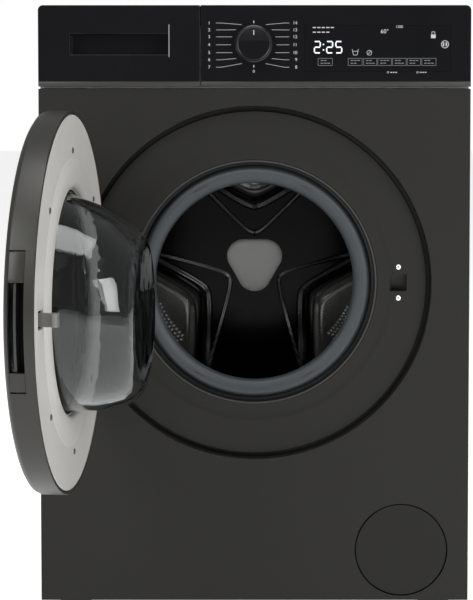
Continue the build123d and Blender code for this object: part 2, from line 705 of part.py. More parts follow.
with BuildPart() as door_frame:
    turned(
        [
            (DOOR_RADIUS, DOOR_OUTER + RIM_BEVEL),
            (DOOR_RADIUS, DOOR_INNER - 1),
            (DOOR_RADIUS - 1, DOOR_INNER),
            (LINER_RADIUS + PLAY, DOOR_INNER),
            (LINER_RADIUS + PLAY, LEDGE),
            (LEDGE_RADIUS, LEDGE),
            (LEDGE_RADIUS, 0),
            (DOOR_RADIUS - RIM_WALL, 0),
            (DOOR_RADIUS - RIM_WALL, DOOR_OUTER + RIM_BEVEL + 1),
            (DOOR_RADIUS - RIM_WALL - 6, DOOR_OUTER + 3),
            (COVER_RADIUS, DOOR_OUTER + 3),
            (COVER_RADIUS, DOOR_OUTER),
            (DOOR_RADIUS - 6.5, DOOR_OUTER),
            (DOOR_RADIUS - 2, DOOR_OUTER + 3),
        ],
        frame=DOOR,
    )
    hinge_pocket()
    block(
        (CUP_X - 8, DOOR_RADIUS + 2),
        (GRIP_FRONT, GRIP_BACK),
        (PORT_Z - GRIP_HALF, PORT_Z + GRIP_HALF),
        frame=DOOR,
        mode=Mode.SUBTRACT,
    )
save(door_frame, "door_frame")

with BuildPart() as door_cover:
    turned(
        [
            (0, DOOR_OUTER),
            (COVER_RADIUS - PLAY, DOOR_OUTER),
            (COVER_RADIUS - PLAY, DOOR_OUTER + 3 + PLAY),
            (COVER_RADIUS + 12, DOOR_OUTER + 3 + PLAY),
            (COVER_RADIUS + 12, DOOR_OUTER + 5),
            (COVER_RADIUS - 4, DOOR_OUTER + 5),
            (COVER_RADIUS - 6, DOOR_OUTER + 3),
            (0, DOOR_OUTER + 3),
        ],
        frame=DOOR,
    )
save(door_cover, "door_cover")

HOOK_SLOT = (HOOK_X - 14, HOOK_X + 14)
CHEEK = 4.0
HOOK_HALF = 8.0
HOOK_PIVOT = -4.0
with BuildPart() as door_inner_liner:
    turned(
        [
            (LINER_RADIUS, LEDGE + PLAY),
            (LINER_RADIUS, DOOR_INNER - 1),
            (LINER_RADIUS - 1, DOOR_INNER),
            (LINER_HOLE + 12, DOOR_INNER),
            (LINER_HOLE + 5, 3),
            (LINER_HOLE, 2.4),
            (LINER_HOLE, 0.6),
            (LINER_HOLE + 5, 0.6),
            (LINER_HOLE + 13, LEDGE + PLAY),
        ],
        frame=DOOR,
    )
    hinge_pocket()
    block(
        HOOK_SLOT, (0, 8), (PORT_Z - HOOK_HALF - 3, PORT_Z + HOOK_HALF + 3), DOOR, Mode.SUBTRACT
    )
    for side in (-1, 1):
        cheek_z = sorted(
            (PORT_Z + side * (HOOK_HALF + 3), PORT_Z + side * (HOOK_HALF + 3 + CHEEK))
        )
        block((HOOK_X - 10, HOOK_X + 7), (HOOK_PIVOT - 5, LEDGE + 1), cheek_z, DOOR)
    bar(
        (HOOK_X - 1, HOOK_PIVOT, PORT_Z - 16),
        (HOOK_X - 1, HOOK_PIVOT, PORT_Z + 16),
        HOOK_PIN + RUN,
        DOOR,
        Mode.SUBTRACT,
    )
    liner_screws = [
        (SCREW_RING * math.cos(math.radians(turn)), PORT_Z + SCREW_RING * math.sin(math.radians(turn)))
        for turn in (40, 90, 140, 220, 270, 320)
    ]
    for place in liner_screws:
        round_hole(*place, (0, 8), SCREW_SHANK + RUN, DOOR)
save(door_inner_liner, "door_inner_liner")

with BuildPart() as door_screws:
    for place in liner_screws:
        screw(*place, DOOR_INNER, length=10, frame=DOOR, inwards=-1)
save(door_screws, "door_screws")

BOWL_FLANGE = 158.0
BOWL_CENTRE = PORT_Z - BOWL_DROP
with BuildPart() as door_glass:
    with BuildSketch(DOOR):
        with Locations((0, PORT_Z)):
            Circle(BOWL_RADIUS)
    with BuildSketch(DOOR.offset(-BOWL_REACH + 6)):
        with Locations((0, BOWL_CENTRE)):
            Circle(BOWL_FRONT_RADIUS + 4)
    loft()
    with BuildSketch(DOOR.offset(-BOWL_REACH + 6)):
        with Locations((0, BOWL_CENTRE)):
            Circle(BOWL_FRONT_RADIUS + 4)
    with BuildSketch(DOOR.offset(-BOWL_REACH)):
        with Locations((0, BOWL_CENTRE)):
            Circle(BOWL_FRONT_RADIUS - 4)
    loft()
    turned([(0, -3.5), (BOWL_FLANGE, -3.5), (BOWL_FLANGE, 0.3), (0, 0.3)], frame=DOOR)
    with BuildSketch(DOOR.offset(4)):
        with Locations((0, PORT_Z)):
            Circle(BOWL_RADIUS - GLASS)
    with BuildSketch(DOOR.offset(-BOWL_REACH + GLASS)):
        with Locations((0, BOWL_CENTRE)):
            Circle(BOWL_FRONT_RADIUS + 3 - GLASS)
    loft(mode=Mode.SUBTRACT)
save(door_glass, "door_glass")

with BuildPart() as door_hinge_plate:
    block((HINGE_X, HINGE_X + 58), (HINGE_DEPTH - 2, HINGE_DEPTH + 2), (PORT_Z - 28, PORT_Z + 28), DOOR)
    bar(
        (HINGE_X, HINGE_DEPTH, PORT_Z - 28), (HINGE_X, HINGE_DEPTH, PORT_Z + 28), 6, DOOR
    )
    for side in (-1, 1):
        standoff = (HINGE_X + 46, PORT_Z + side * 18)
        bar(
            (standoff[0], HINGE_DEPTH, standoff[1]),
            (standoff[0], LEDGE, standoff[1]),
            6,
            DOOR,
        )
    bar(
        (HINGE_X, HINGE_DEPTH, PORT_Z - 29),
        (HINGE_X, HINGE_DEPTH, PORT_Z + 29),
        HINGE_PIN + RUN,
        DOOR,
        Mode.SUBTRACT,
    )
save(door_hinge_plate, "door_hinge_plate")

with BuildPart() as door_hook:
    bar(
        (HOOK_X - 1, HOOK_PIVOT, PORT_Z - 14), (HOOK_X - 1, HOOK_PIVOT, PORT_Z + 14), HOOK_PIN, DOOR
    )
    block((HOOK_X - 5, HOOK_X + 3), (HOOK_PIVOT - 4, 27), (PORT_Z - 8, PORT_Z + 8), DOOR)
    block((HOOK_X - 5, HOOK_X + 9), (21, 27), (PORT_Z - 8, PORT_Z + 8), DOOR)
    chamfer(door_hook.edges().filter_by(Axis.Z).sort_by_distance(
        DOOR.from_local_coords((HOOK_X + 9, PORT_Z, -27)))[0], 3)
save(door_hook, "door_hook")

CUP_FRONT = -21.0
CUP_RADIUS = DOOR_RADIUS - RIM_WALL - PLAY
PADDLE_DEPTH = -17.0
with BuildPart() as door_grip_cup:
    block(
        (CUP_X, DOOR_RADIUS),
        (CUP_FRONT, GRIP_BACK + 2),
        (PORT_Z - GRIP_HALF, PORT_Z + GRIP_HALF),
        DOOR,
    )
    block(
        (CUP_X + 2, DOOR_RADIUS + 1),
        (CUP_FRONT - 1, GRIP_BACK),
        (PORT_Z - GRIP_HALF + 2, PORT_Z + GRIP_HALF - 2),
        DOOR,
        Mode.SUBTRACT,
    )
    bar((0, -40, PORT_Z), (0, 10, PORT_Z), CUP_RADIUS, DOOR, Mode.INTERSECT)
    bar(
        (PADDLE_X, PADDLE_DEPTH, PORT_Z - GRIP_HALF - 1),
        (PADDLE_X, PADDLE_DEPTH, PORT_Z + GRIP_HALF + 1),
        PADDLE_PIN + RUN,
        DOOR,
        Mode.SUBTRACT,
    )
save(door_grip_cup, "door_grip_cup")

with BuildPart() as door_handle:
    block(
        (PADDLE_X, DOOR_RADIUS),
        (PADDLE_DEPTH - 1.5, PADDLE_DEPTH + 1.5),
        (PORT_Z - GRIP_HALF + 12, PORT_Z + GRIP_HALF - 12),
        DOOR,
    )
    bar((0, -40, PORT_Z), (0, 10, PORT_Z), CUP_RADIUS - 1.5, DOOR, Mode.INTERSECT)
    bar(
        (PADDLE_X, PADDLE_DEPTH, PORT_Z - GRIP_HALF + 0.5),
        (PADDLE_X, PADDLE_DEPTH, PORT_Z + GRIP_HALF - 0.5),
        PADDLE_PIN,
        DOOR,
    )
save(door_handle, "door_handle")

# ---------------------------------------------------------------- gasket
RUBBER = 3.0
fold = [
    (PORT_RADIUS - 2, STEP),
    (PORT_RADIUS - 2, LIP + 4),
    (163, LIP + 5),
    (160, LIP - 4),
    (158, 22),
    (155, 20.5),
    (145, 25),
    (142.6, 31),
    (143, 66),
    (150, 68),
    (152, 44),
    (158, 40),
    (164, 43),
    (166, 54),
    (169.5, 52),
    (170, 41.6),
    (TUB_NECK + 2, 41.6),
    (TUB_NECK + 2, 56),
]
with BuildPart() as door_gasket:
    centre = FRONT.from_local_coords((0, PORT_Z, 0))
    with BuildSketch(Plane(origin=centre, x_dir=(0, 0, 1), z_dir=(-1, 0, 0))):
        with BuildLine():
            Polyline(*fold)
            offset(amount=RUBBER / 2, side=Side.BOTH, kind=Kind.ARC, mode=Mode.REPLACE)
        make_face()
    revolve(axis=Axis(centre, (0, 1, 0)))
save(door_gasket, "door_gasket")

# ---------------------------------------------------------------- tub
NECK_FRONT = 44.0
JOINT = 8.0
WEIGHT = (185.0, 250.0)
WEIGHT_DEPTH = (30.0, TUB_FRONT - PLAY)
with BuildPart() as tub_front_half:
    turned([
        (TUB_RADIUS, TUB_FRONT),
        (TUB_RADIUS, TUB_SPLIT - 6),
        (TUB_RADIUS + JOINT, TUB_SPLIT - 6),
        (TUB_RADIUS + JOINT, TUB_SPLIT),
        (TUB_RADIUS - TUB_WALL, TUB_SPLIT),
        (TUB_RADIUS - TUB_WALL, TUB_FRONT + TUB_WALL),
        (TUB_NECK - TUB_WALL, TUB_FRONT + TUB_WALL),
        (TUB_NECK - TUB_WALL, NECK_FRONT),
        (TUB_NECK, NECK_FRONT),
        (TUB_NECK, TUB_FRONT),
    ])
    bar(
        (INFLOW_X, INFLOW_DEPTH, PORT_Z + 178),
        (INFLOW_X, INFLOW_DEPTH, SPOUT_TOP),
        INFLOW_RADIUS,
    )
    bar(
        (SPOUT_X, SPOUT_DEPTH, 200),
        (SPOUT_X, SPOUT_DEPTH, PORT_Z - 228),
        SPOUT_RADIUS,
    )
    bar(
        (0, TUB_FRONT + TUB_WALL + 1, PORT_Z),
        (0, TUB_SPLIT, PORT_Z),
        TUB_RADIUS - TUB_WALL - FLASH,
        mode=Mode.SUBTRACT,
    )
    bar(
        (INFLOW_X, INFLOW_DEPTH, PORT_Z + 150),
        (INFLOW_X, INFLOW_DEPTH, SPOUT_TOP + 1),
        INFLOW_RADIUS - 2,
        mode=Mode.SUBTRACT,
    )
    bar(
        (SPOUT_X, SPOUT_DEPTH, 199),
        (SPOUT_X, SPOUT_DEPTH, PORT_Z - 200),
        SPOUT_RADIUS - 2,
        mode=Mode.SUBTRACT,
    )
save(tub_front_half, "tub_front_half")

HUB_FRONT = 388.0
HUB_BACK = 432.0
PAD_Z = 190.0
HEATER_X = 22.0
HEATER_ROD = 3.5
HEATER_Z = PORT_Z - 249.5
with BuildPart() as tub_rear_half:
    turned([
        (TUB_RADIUS + JOINT, TUB_SPLIT + PLAY),
        (TUB_RADIUS + JOINT, TUB_SPLIT + 6),
        (TUB_RADIUS, TUB_SPLIT + 6),
        (TUB_RADIUS, TUB_BACK),
        (BEARING_RADIUS + 11, TUB_BACK),
        (BEARING_RADIUS + 11, HUB_BACK),
        (BEARING_RADIUS, HUB_BACK),
        (BEARING_RADIUS, HUB_FRONT),
        (BEARING_RADIUS + 11, HUB_FRONT),
        (BEARING_RADIUS + 11, TUB_BACK - TUB_WALL),
        (TUB_RADIUS - TUB_WALL, TUB_BACK - TUB_WALL),
        (TUB_RADIUS - TUB_WALL, TUB_SPLIT + PLAY),
    ])
    with Locations(FRONT.offset(-TUB_BACK)):
        with Locations((0, PORT_Z)):
            with PolarLocations((BEARING_RADIUS + TUB_RADIUS) / 2 + 4, 12, start_angle=15):
                Box(
                    TUB_RADIUS - BEARING_RADIUS - 16,
                    4,
                    16,
                    align=(Align.CENTER, Align.CENTER, Align.MAX),
                )
    block((-50, 50), (300, 390), (PAD_Z, PORT_Z - TUB_RADIUS + 7))
    for hand in (-1, 1):
        block(
            (hand * SPRING_X - 12, hand * SPRING_X + 12),
            (SPRING_DEPTH - 3, SPRING_DEPTH + 3),
            (PORT_Z + 140, PORT_Z + 180),
        )
        head_x = hand * DAMPER_HEAD[0]
        for side in (-1, 1):
            ear_at = DAMPER_DEPTH + side * (EAR_GAP + EAR / 2)
            block(
                (head_x - 12, head_x + 12),
                (ear_at - EAR / 2, ear_at + EAR / 2),
                (DAMPER_HEAD[1] - 9, DAMPER_HEAD[1] + 30),
            )
        bar(
            (head_x, DAMPER_DEPTH - EAR_GAP - EAR, DAMPER_HEAD[1]),
            (head_x, DAMPER_DEPTH + EAR_GAP + EAR, DAMPER_HEAD[1]),
            DAMPER_PIN,
        )
    bar(
        (0, TUB_SPLIT, PORT_Z),
        (0, TUB_BACK - TUB_WALL - 16, PORT_Z),
        TUB_RADIUS - TUB_WALL - FLASH,
        mode=Mode.SUBTRACT,
    )
    for hand in (-1, 1):
        round_hole(hand * HEATER_X, HEATER_Z, (TUB_BACK - 30, TUB_BACK + 10), HEATER_ROD + 0.2)
save(tub_rear_half, "tub_rear_half")

with BuildPart() as front_counterweights:
    turned([
        (WEIGHT[0], WEIGHT_DEPTH[0]),
        (WEIGHT[1], WEIGHT_DEPTH[0]),
        (WEIGHT[1], WEIGHT_DEPTH[1]),
        (WEIGHT[0], WEIGHT_DEPTH[1]),
    ])
    block((-260, 260), (WEIGHT_DEPTH[0] - 1, WEIGHT_DEPTH[1] + 1), (PORT_Z - 80, PORT_Z + 80),
          mode=Mode.SUBTRACT)
save(front_counterweights, "front_counterweights")

with BuildPart() as tub_bearings:
    for bearing_front in (HUB_FRONT + 2, HUB_BACK - 16):
        turned([
            (SHAFT_RADIUS + RUN, bearing_front),
            (BEARING_RADIUS - RUN, bearing_front),
            (BEARING_RADIUS - RUN, bearing_front + 14),
            (SHAFT_RADIUS + RUN, bearing_front + 14),
        ])
save(tub_bearings, "tub_bearings")

with BuildPart() as heater:
    for hand in (-1, 1):
        bar((hand * HEATER_X, 230, HEATER_Z), (hand * HEATER_X, 422, HEATER_Z), HEATER_ROD)
    bar(
        (-HEATER_X - HEATER_ROD, 230, HEATER_Z),
        (HEATER_X + HEATER_ROD, 230, HEATER_Z),
        HEATER_ROD,
    )
    block(
        (-HEATER_X - 12, HEATER_X + 12),
        (TUB_BACK + PLAY, TUB_BACK + 6),
        (HEATER_Z - 10, HEATER_Z + 10),
    )
save(heater, "heater")

# ---------------------------------------------------------------- drum and drive
with BuildPart() as drum_shell:
    turned([
        (DRUM_RADIUS, DRUM_FRONT + 3),
        (DRUM_RADIUS, DRUM_BACK),
        (0, DRUM_BACK),
        (0, DRUM_BACK - DRUM_SHEET),
        (DRUM_RADIUS - DRUM_SHEET, DRUM_BACK - DRUM_SHEET),
        (DRUM_RADIUS - DRUM_SHEET, DRUM_FRONT + 3),
        (DRUM_RADIUS - 4, DRUM_FRONT + DRUM_SHEET),
        (DRUM_MOUTH, DRUM_FRONT + DRUM_SHEET),
        (DRUM_MOUTH, DRUM_FRONT - 4),
        (DRUM_MOUTH + DRUM_SHEET, DRUM_FRONT - 4),
        (DRUM_MOUTH + DRUM_SHEET, DRUM_FRONT),
        (DRUM_RADIUS - 3, DRUM_FRONT),
    ])
save(drum_shell, "drum_shell")

LIFTER_BASE = 66.0
LIFTER_DEPTH = (DRUM_FRONT + 22, DRUM_BACK - 22)
with BuildPart() as drum_lifters:
    with BuildSketch(FRONT.offset(-LIFTER_DEPTH[0])):
        with Locations((0, PORT_Z)):
            for index in range(LIFTER_COUNT):
                turn = 90 + index * 360 / LIFTER_COUNT
                with Locations(Location((0, 0), turn)):
                    with Locations((DRUM_RADIUS - LIFTER_HEIGHT / 2, 0)):
                        Trapezoid(LIFTER_BASE, LIFTER_HEIGHT, 68, rotation=90)
    extrude(amount=-(LIFTER_DEPTH[1] - LIFTER_DEPTH[0]))
    fillet(drum_lifters.edges().filter_by(Axis.Y).filter_by(
        lambda edge: (edge @ 0 - Vector(*at(0, LIFTER_DEPTH[0], PORT_Z))).length
        < DRUM_RADIUS - LIFTER_HEIGHT + 12), 8)
    bar(
        (0, DRUM_FRONT, PORT_Z),
        (0, DRUM_BACK, PORT_Z),
        DRUM_RADIUS - DRUM_SHEET - PLAY,
        mode=Mode.INTERSECT,
    )
save(drum_lifters, "drum_lifters")

CAP_SIDE = 62.0
CAP_CORNER = 24.0
with BuildPart() as drum_hub_cap:
    with BuildSketch(FRONT.offset(-(DRUM_BACK - DRUM_SHEET - PLAY))):
        with Locations((0, PORT_Z)):
            RegularPolygon(CAP_SIDE, 3, rotation=-90)
        fillet(vertices(), CAP_CORNER)
    extrude(amount=16, taper=10)
save(drum_hub_cap, "drum_hub_cap")

SPIDER_BACK = DRUM_BACK + 14
with BuildPart() as drum_spider:
    bar((0, DRUM_BACK + 0.02, PORT_Z), (0, SPIDER_BACK, PORT_Z), 42)
    with Locations(FRONT.offset(-DRUM_BACK - 0.02)):
        with Locations((0, PORT_Z)):
            with PolarLocations(112, LIFTER_COUNT, start_angle=30):
                Box(220, 30, 12, align=(Align.CENTER, Align.CENTER, Align.MAX))
    bar((0, SPIDER_BACK - 1, PORT_Z), (0, PULLEY_DEPTH + PULLEY_WIDTH + 8, PORT_Z), SHAFT_RADIUS)
save(drum_spider, "drum_spider")

with BuildPart() as drum_pulley:
    turned([
        (PULLEY_RADIUS, PULLEY_DEPTH),
        (PULLEY_RADIUS, PULLEY_DEPTH + PULLEY_WIDTH),
        (PULLEY_RADIUS - 6, PULLEY_DEPTH + PULLEY_WIDTH),
        (PULLEY_RADIUS - 6, PULLEY_DEPTH),
    ])
    bar((0, PULLEY_DEPTH, PORT_Z), (0, PULLEY_DEPTH + PULLEY_WIDTH, PORT_Z), 30)
    with Locations(FRONT.offset(-PULLEY_DEPTH - 3)):
        with Locations((0, PORT_Z)):
            with PolarLocations((PULLEY_RADIUS - 6 + 30) / 2, 6):
                Box(PULLEY_RADIUS - 6 - 30 + 3, 18, 6, align=(Align.CENTER, Align.CENTER, Align.MAX))
    round_hole(0, PORT_Z, (PULLEY_DEPTH - 1, PULLEY_DEPTH + PULLEY_WIDTH + 1), SHAFT_RADIUS + RUN)
save(drum_pulley, "drum_pulley")

with BuildPart() as drive_belt:
    for loop_offset, loop_mode in ((PLAY + BELT, Mode.ADD), (PLAY, Mode.SUBTRACT)):
        with BuildSketch(FRONT.offset(-PULLEY_DEPTH - 1)):
            with Locations((0, PORT_Z)):
                Circle(PULLEY_RADIUS + loop_offset)
            with Locations((0, MOTOR_Z)):
                Circle(MOTOR_PULLEY + loop_offset)
            make_hull()
        extrude(amount=-(PULLEY_WIDTH - 2), mode=loop_mode)
save(drive_belt, "drive_belt")

with BuildPart() as motor_pulley:
    bar((0, PULLEY_DEPTH, MOTOR_Z), (0, PULLEY_DEPTH + PULLEY_WIDTH, MOTOR_Z), MOTOR_PULLEY)
    bar((0, MOTOR_BACK - 14, MOTOR_Z), (0, PULLEY_DEPTH + 1, MOTOR_Z), MOTOR_SHAFT)
save(motor_pulley, "motor_pulley")

with BuildPart() as drive_motor:
    bar((0, 270, MOTOR_Z), (0, MOTOR_BACK, MOTOR_Z), MOTOR_RADIUS)
    fillet(drive_motor.edges().filter_by(GeomType.CIRCLE), 5)
    block((-45, 45), (305, 385), (MOTOR_Z + 40, PAD_Z - 0.02))
    round_hole(0, MOTOR_Z, (MOTOR_BACK - 15, MOTOR_BACK + 1), MOTOR_SHAFT + RUN)
save(drive_motor, "drive_motor")

# ---------------------------------------------------------------- suspension
SPRING_BOTTOM = PORT_Z + 180 + PLAY
SPRING_TOP = RAIL_Z[0] - PLAY
with BuildPart() as suspension_springs:
    for hand in (-1, 1):
        x = hand * SPRING_X
        bar((x, SPRING_DEPTH, SPRING_BOTTOM + 22), (x, SPRING_DEPTH, SPRING_TOP - 22), SPRING_RADIUS)
        bar(
            (x, SPRING_DEPTH, SPRING_BOTTOM + 25),
            (x, SPRING_DEPTH, SPRING_TOP - 25),
            SPRING_RADIUS - 4,
            mode=Mode.SUBTRACT,
        )
        bar((x, SPRING_DEPTH, SPRING_BOTTOM), (x, SPRING_DEPTH, SPRING_BOTTOM + 23), 2.5)
        bar((x, SPRING_DEPTH, SPRING_TOP - 23), (x, SPRING_DEPTH, SPRING_TOP), 2.5)
save(suspension_springs, "suspension_springs")

EYE = 12.0
EYE_HALF = EAR_GAP - 1
for hand, hand_name in ((-1, "left"), (1, "right")):
    foot_pin = Vector(hand * DAMPER_FOOT[0], DAMPER_DEPTH, DAMPER_FOOT[1])
    head_pin = Vector(hand * DAMPER_HEAD[0], DAMPER_DEPTH, DAMPER_HEAD[1])
    line = head_pin - foot_pin

    def along(share):
        """A point on the damper's line."""
        return tuple(foot_pin + line * share)
    with BuildPart() as damper_tube:
        bar(along(0.04), along(0.6), DAMPER_TUBE)
        bar(
            (foot_pin.X, DAMPER_DEPTH - EYE_HALF, foot_pin.Z),
            (foot_pin.X, DAMPER_DEPTH + EYE_HALF, foot_pin.Z),
            EYE,
        )
        bar(along(0.18), along(0.57), DAMPER_TUBE - 2.5, mode=Mode.SUBTRACT)
        bar(along(0.5), along(0.61), DAMPER_ROD + RUN, mode=Mode.SUBTRACT)
        round_hole(
            foot_pin.X, foot_pin.Z, (DAMPER_DEPTH - 20, DAMPER_DEPTH + 20), DAMPER_PIN + RUN
        )
    save(damper_tube, f"{hand_name}_damper_tube")
    with BuildPart() as damper_rod:
        bar(along(0.27), along(0.98), DAMPER_ROD)
        bar(along(0.27), along(0.36), DAMPER_TUBE - 2.5 - PLAY)
        bar(
            (head_pin.X, DAMPER_DEPTH - EYE_HALF, head_pin.Z),
            (head_pin.X, DAMPER_DEPTH + EYE_HALF, head_pin.Z),
            EYE - 2,
        )
        round_hole(
            head_pin.X, head_pin.Z, (DAMPER_DEPTH - 20, DAMPER_DEPTH + 20), DAMPER_PIN + PIVOT_PLAY
        )
    save(damper_rod, f"{hand_name}_damper_rod")

# ---------------------------------------------------------------- pump and hatch
HATCH_HINGE_Z = HATCH_Z - HATCH_RADIUS
HATCH_HINGE = [(HATCH_X + side * HATCH_ARM_HALF, 0, HATCH_HINGE_Z) for side in (-1, 1)]
HATCH_GUIDE = [(HATCH_X + side * (HATCH_ARM_HALF + PLAY), 0, HATCH_HINGE_Z) for side in (-1, 1)]
with BuildPart() as hatch_surround:
    turned(
        [
            (SURROUND[0], SHEET + 0.2),
            (SURROUND[1], SHEET + 0.2),
            (SURROUND[1], SURROUND_BACK),
            (PUMP_RADIUS + 2, SURROUND_BACK),
            (PUMP_RADIUS + 2, SURROUND_BACK - 2),
            (SURROUND[0], SURROUND_BACK - 2),
        ],
        HATCH_X,
        HATCH_Z,
    )
    block(
        (HATCH_X - HATCH_ARM_HALF - 3, HATCH_X + HATCH_ARM_HALF + 3),
        (SHEET + 0.2, 8),
        (HATCH_HINGE_Z - 4.7, HATCH_HINGE_Z - 0.5),
    )
    bar(*HATCH_GUIDE, HATCH_ARM[1] + PLAY, mode=Mode.SUBTRACT)
save(hatch_surround, "hatch_surround")

with BuildPart() as filter_hatch:
    # a curved arm that turns about the lower edge of the opening
    bar(*HATCH_HINGE, HATCH_ARM[1])
    bar(*HATCH_HINGE, HATCH_ARM[0], mode=Mode.SUBTRACT)
    block(
        (HATCH_X - HATCH_ARM_HALF - 1, HATCH_X + HATCH_ARM_HALF + 1),
        (-5, SHEET + PLAY),
        (HATCH_HINGE_Z - 5, HATCH_HINGE_Z + 5),
        mode=Mode.SUBTRACT,
    )
    block(
        (HATCH_X - HATCH_ARM_HALF, HATCH_X + HATCH_ARM_HALF),
        (HATCH_THICKNESS - 0.6, HATCH_THICKNESS + 1.5),
        (HATCH_HINGE_Z + 1.5, HATCH_HINGE_Z + 9),
    )
    turned(
        [
            (0, 0),
            (HATCH_RADIUS - HATCH_GAP - 0.8, 0),
            (HATCH_RADIUS - HATCH_GAP, 0.8),
            (HATCH_RADIUS - HATCH_GAP, HATCH_THICKNESS),
            (0, HATCH_THICKNESS),
        ],
        HATCH_X,
        HATCH_Z,
    )
save(filter_hatch, "filter_hatch")

PUMP_FRONT = SURROUND_BACK + 1
PUMP_SPLIT = 78.0
CHAMBER = 24.0
PUMP_BACK = 120.0
with BuildPart() as pump_body:
    bar((HATCH_X, PUMP_FRONT, HATCH_Z), (HATCH_X, PUMP_BACK, HATCH_Z), PUMP_RADIUS)
    bar((HATCH_X, PUMP_BACK - 1, HATCH_Z), (HATCH_X, 170, HATCH_Z), 28)
    block(
        (HATCH_X - 22, HATCH_X + 22), (60, 116), (BASE_Z + BASE_SHEET + 0.02, HATCH_Z - 20)
    )
    bar((HATCH_X - 50, SPOUT_DEPTH - 30, HATCH_Z), (HATCH_X, SPOUT_DEPTH - 30, HATCH_Z), 13)
    bar((HATCH_X, 104, HATCH_Z), (DRAIN_X - 14, 104, HATCH_Z), 9)
    round_hole(HATCH_X, HATCH_Z, (PUMP_FRONT - 1, PUMP_SPLIT), FILTER_RADIUS + RUN)
    round_hole(HATCH_X, HATCH_Z, (PUMP_SPLIT - 1, PUMP_BACK - 3), CHAMBER)
    round_hole(HATCH_X, HATCH_Z, (PUMP_BACK - 4, PUMP_BACK + 10), 3 + RUN)
    bar((HATCH_X - 51, SPOUT_DEPTH - 30, HATCH_Z), (HATCH_X - 18, SPOUT_DEPTH - 30, HATCH_Z), 11,
        mode=Mode.SUBTRACT)
save(pump_body, "pump_body")

with BuildPart() as pump_impeller:
    bar((HATCH_X, 96, HATCH_Z), (HATCH_X, 113, HATCH_Z), 8)
    bar((HATCH_X, 112, HATCH_Z), (HATCH_X, PUMP_BACK + 8, HATCH_Z), 3)
    with Locations(FRONT.offset(-98)):
        with Locations((HATCH_X, HATCH_Z)):
            with PolarLocations(13, 4):
                Box(14, 3, 12, align=(Align.CENTER, Align.CENTER, Align.MAX))
save(pump_impeller, "pump_impeller")

with BuildPart() as pump_filter:
    bar((HATCH_X, 16, HATCH_Z), (HATCH_X, PUMP_FRONT - PLAY, HATCH_Z), FILTER_RADIUS + 4)
    bar((HATCH_X, PUMP_FRONT - 1, HATCH_Z), (HATCH_X, 74, HATCH_Z), FILTER_RADIUS)
    round_hole(HATCH_X, HATCH_Z, (44, 76), FILTER_RADIUS - 3)
    block((HATCH_X - 25, HATCH_X + 25), (8, 17), (HATCH_Z - 4, HATCH_Z + 4))
save(pump_filter, "pump_filter")

SUMP_GRIP = SPOUT_RADIUS + PLAY
sump_route = [
    at(SPOUT_X, SPOUT_DEPTH, 214),
    at(SPOUT_X, SPOUT_DEPTH, 150),
    at(SPOUT_X, SPOUT_DEPTH - 30, HATCH_Z),
    at(HATCH_X - 50 + 12, SPOUT_DEPTH - 30, HATCH_Z),
]
with BuildPart() as sump_hose:
    with BuildLine() as sump_line:
        FilletPolyline(*sump_route, radius=(28, 22))
    with BuildSketch(Plane(origin=sump_route[0], z_dir=(0, 0, -1))):
        Circle(SUMP_GRIP + 3)
        Circle(SUMP_GRIP, mode=Mode.SUBTRACT)
    sweep(path=sump_line.line)
save(sump_hose, "sump_hose")

drain_route = [
    at(DRAIN_X - 14 + PLAY, 104, HATCH_Z),
    at(DRAIN_X, 104, HATCH_Z),
    at(DRAIN_X, REAR_REACH - SPIGOT, HATCH_Z),
]
with BuildPart() as drain_pipe:
    with BuildLine() as drain_line:
        FilletPolyline(*drain_route, radius=13)
    with BuildSketch(Plane(origin=drain_route[0], z_dir=(1, 0, 0))):
        Circle(DRAIN_PIPE)
        Circle(DRAIN_RADIUS - 2, mode=Mode.SUBTRACT)
    sweep(path=drain_line.line)
    turned(
        [
            (DRAIN_RADIUS, REAR_REACH - SPIGOT),
            (DRAIN_RADIUS, REAR_REACH),
            (DRAIN_RADIUS - 2, REAR_REACH),
            (DRAIN_RADIUS - 2, REAR_REACH - SPIGOT),
        ],
        DRAIN_X,
        HATCH_Z,
    )
save(drain_pipe, "drain_pipe")
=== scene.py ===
"""Front load washing machine: the finished pieces around its frame."""
import json
import math

import bmesh
import bpy
from mathutils import Matrix, Vector


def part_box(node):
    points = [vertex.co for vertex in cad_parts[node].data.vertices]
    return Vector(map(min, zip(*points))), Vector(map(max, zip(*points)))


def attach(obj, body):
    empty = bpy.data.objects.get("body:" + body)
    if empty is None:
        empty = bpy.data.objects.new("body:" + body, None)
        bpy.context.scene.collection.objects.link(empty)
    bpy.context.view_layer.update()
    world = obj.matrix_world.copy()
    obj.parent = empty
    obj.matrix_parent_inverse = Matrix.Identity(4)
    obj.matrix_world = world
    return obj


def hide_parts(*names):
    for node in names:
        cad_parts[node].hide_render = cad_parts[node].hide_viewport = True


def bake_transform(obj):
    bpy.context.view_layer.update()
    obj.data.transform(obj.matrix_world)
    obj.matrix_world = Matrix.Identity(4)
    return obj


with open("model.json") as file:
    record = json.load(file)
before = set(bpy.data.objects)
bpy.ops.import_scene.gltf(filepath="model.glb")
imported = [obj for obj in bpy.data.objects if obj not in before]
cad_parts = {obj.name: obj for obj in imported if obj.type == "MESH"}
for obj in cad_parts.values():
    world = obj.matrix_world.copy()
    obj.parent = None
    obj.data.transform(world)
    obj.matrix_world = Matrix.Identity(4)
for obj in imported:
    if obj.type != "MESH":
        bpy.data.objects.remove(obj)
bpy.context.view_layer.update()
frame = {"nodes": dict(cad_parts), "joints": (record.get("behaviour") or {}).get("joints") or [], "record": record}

bl_info = {
    "name": "Front Load Washing Machine",
    "version": (1, 0, 0),
    "blender": (4, 5, 0),
    "location": "View3D > Sidebar > Washer",
    "description": "Builds the finished pieces of a front load washing machine around its frame",
    "category": "Object",
}

MM = 0.001


# ---------------------------------------------------------------- places read from the frame
def middle(node):
    """The middle of a frame piece."""
    low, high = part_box(node)
    return (Vector(low) + Vector(high)) / 2


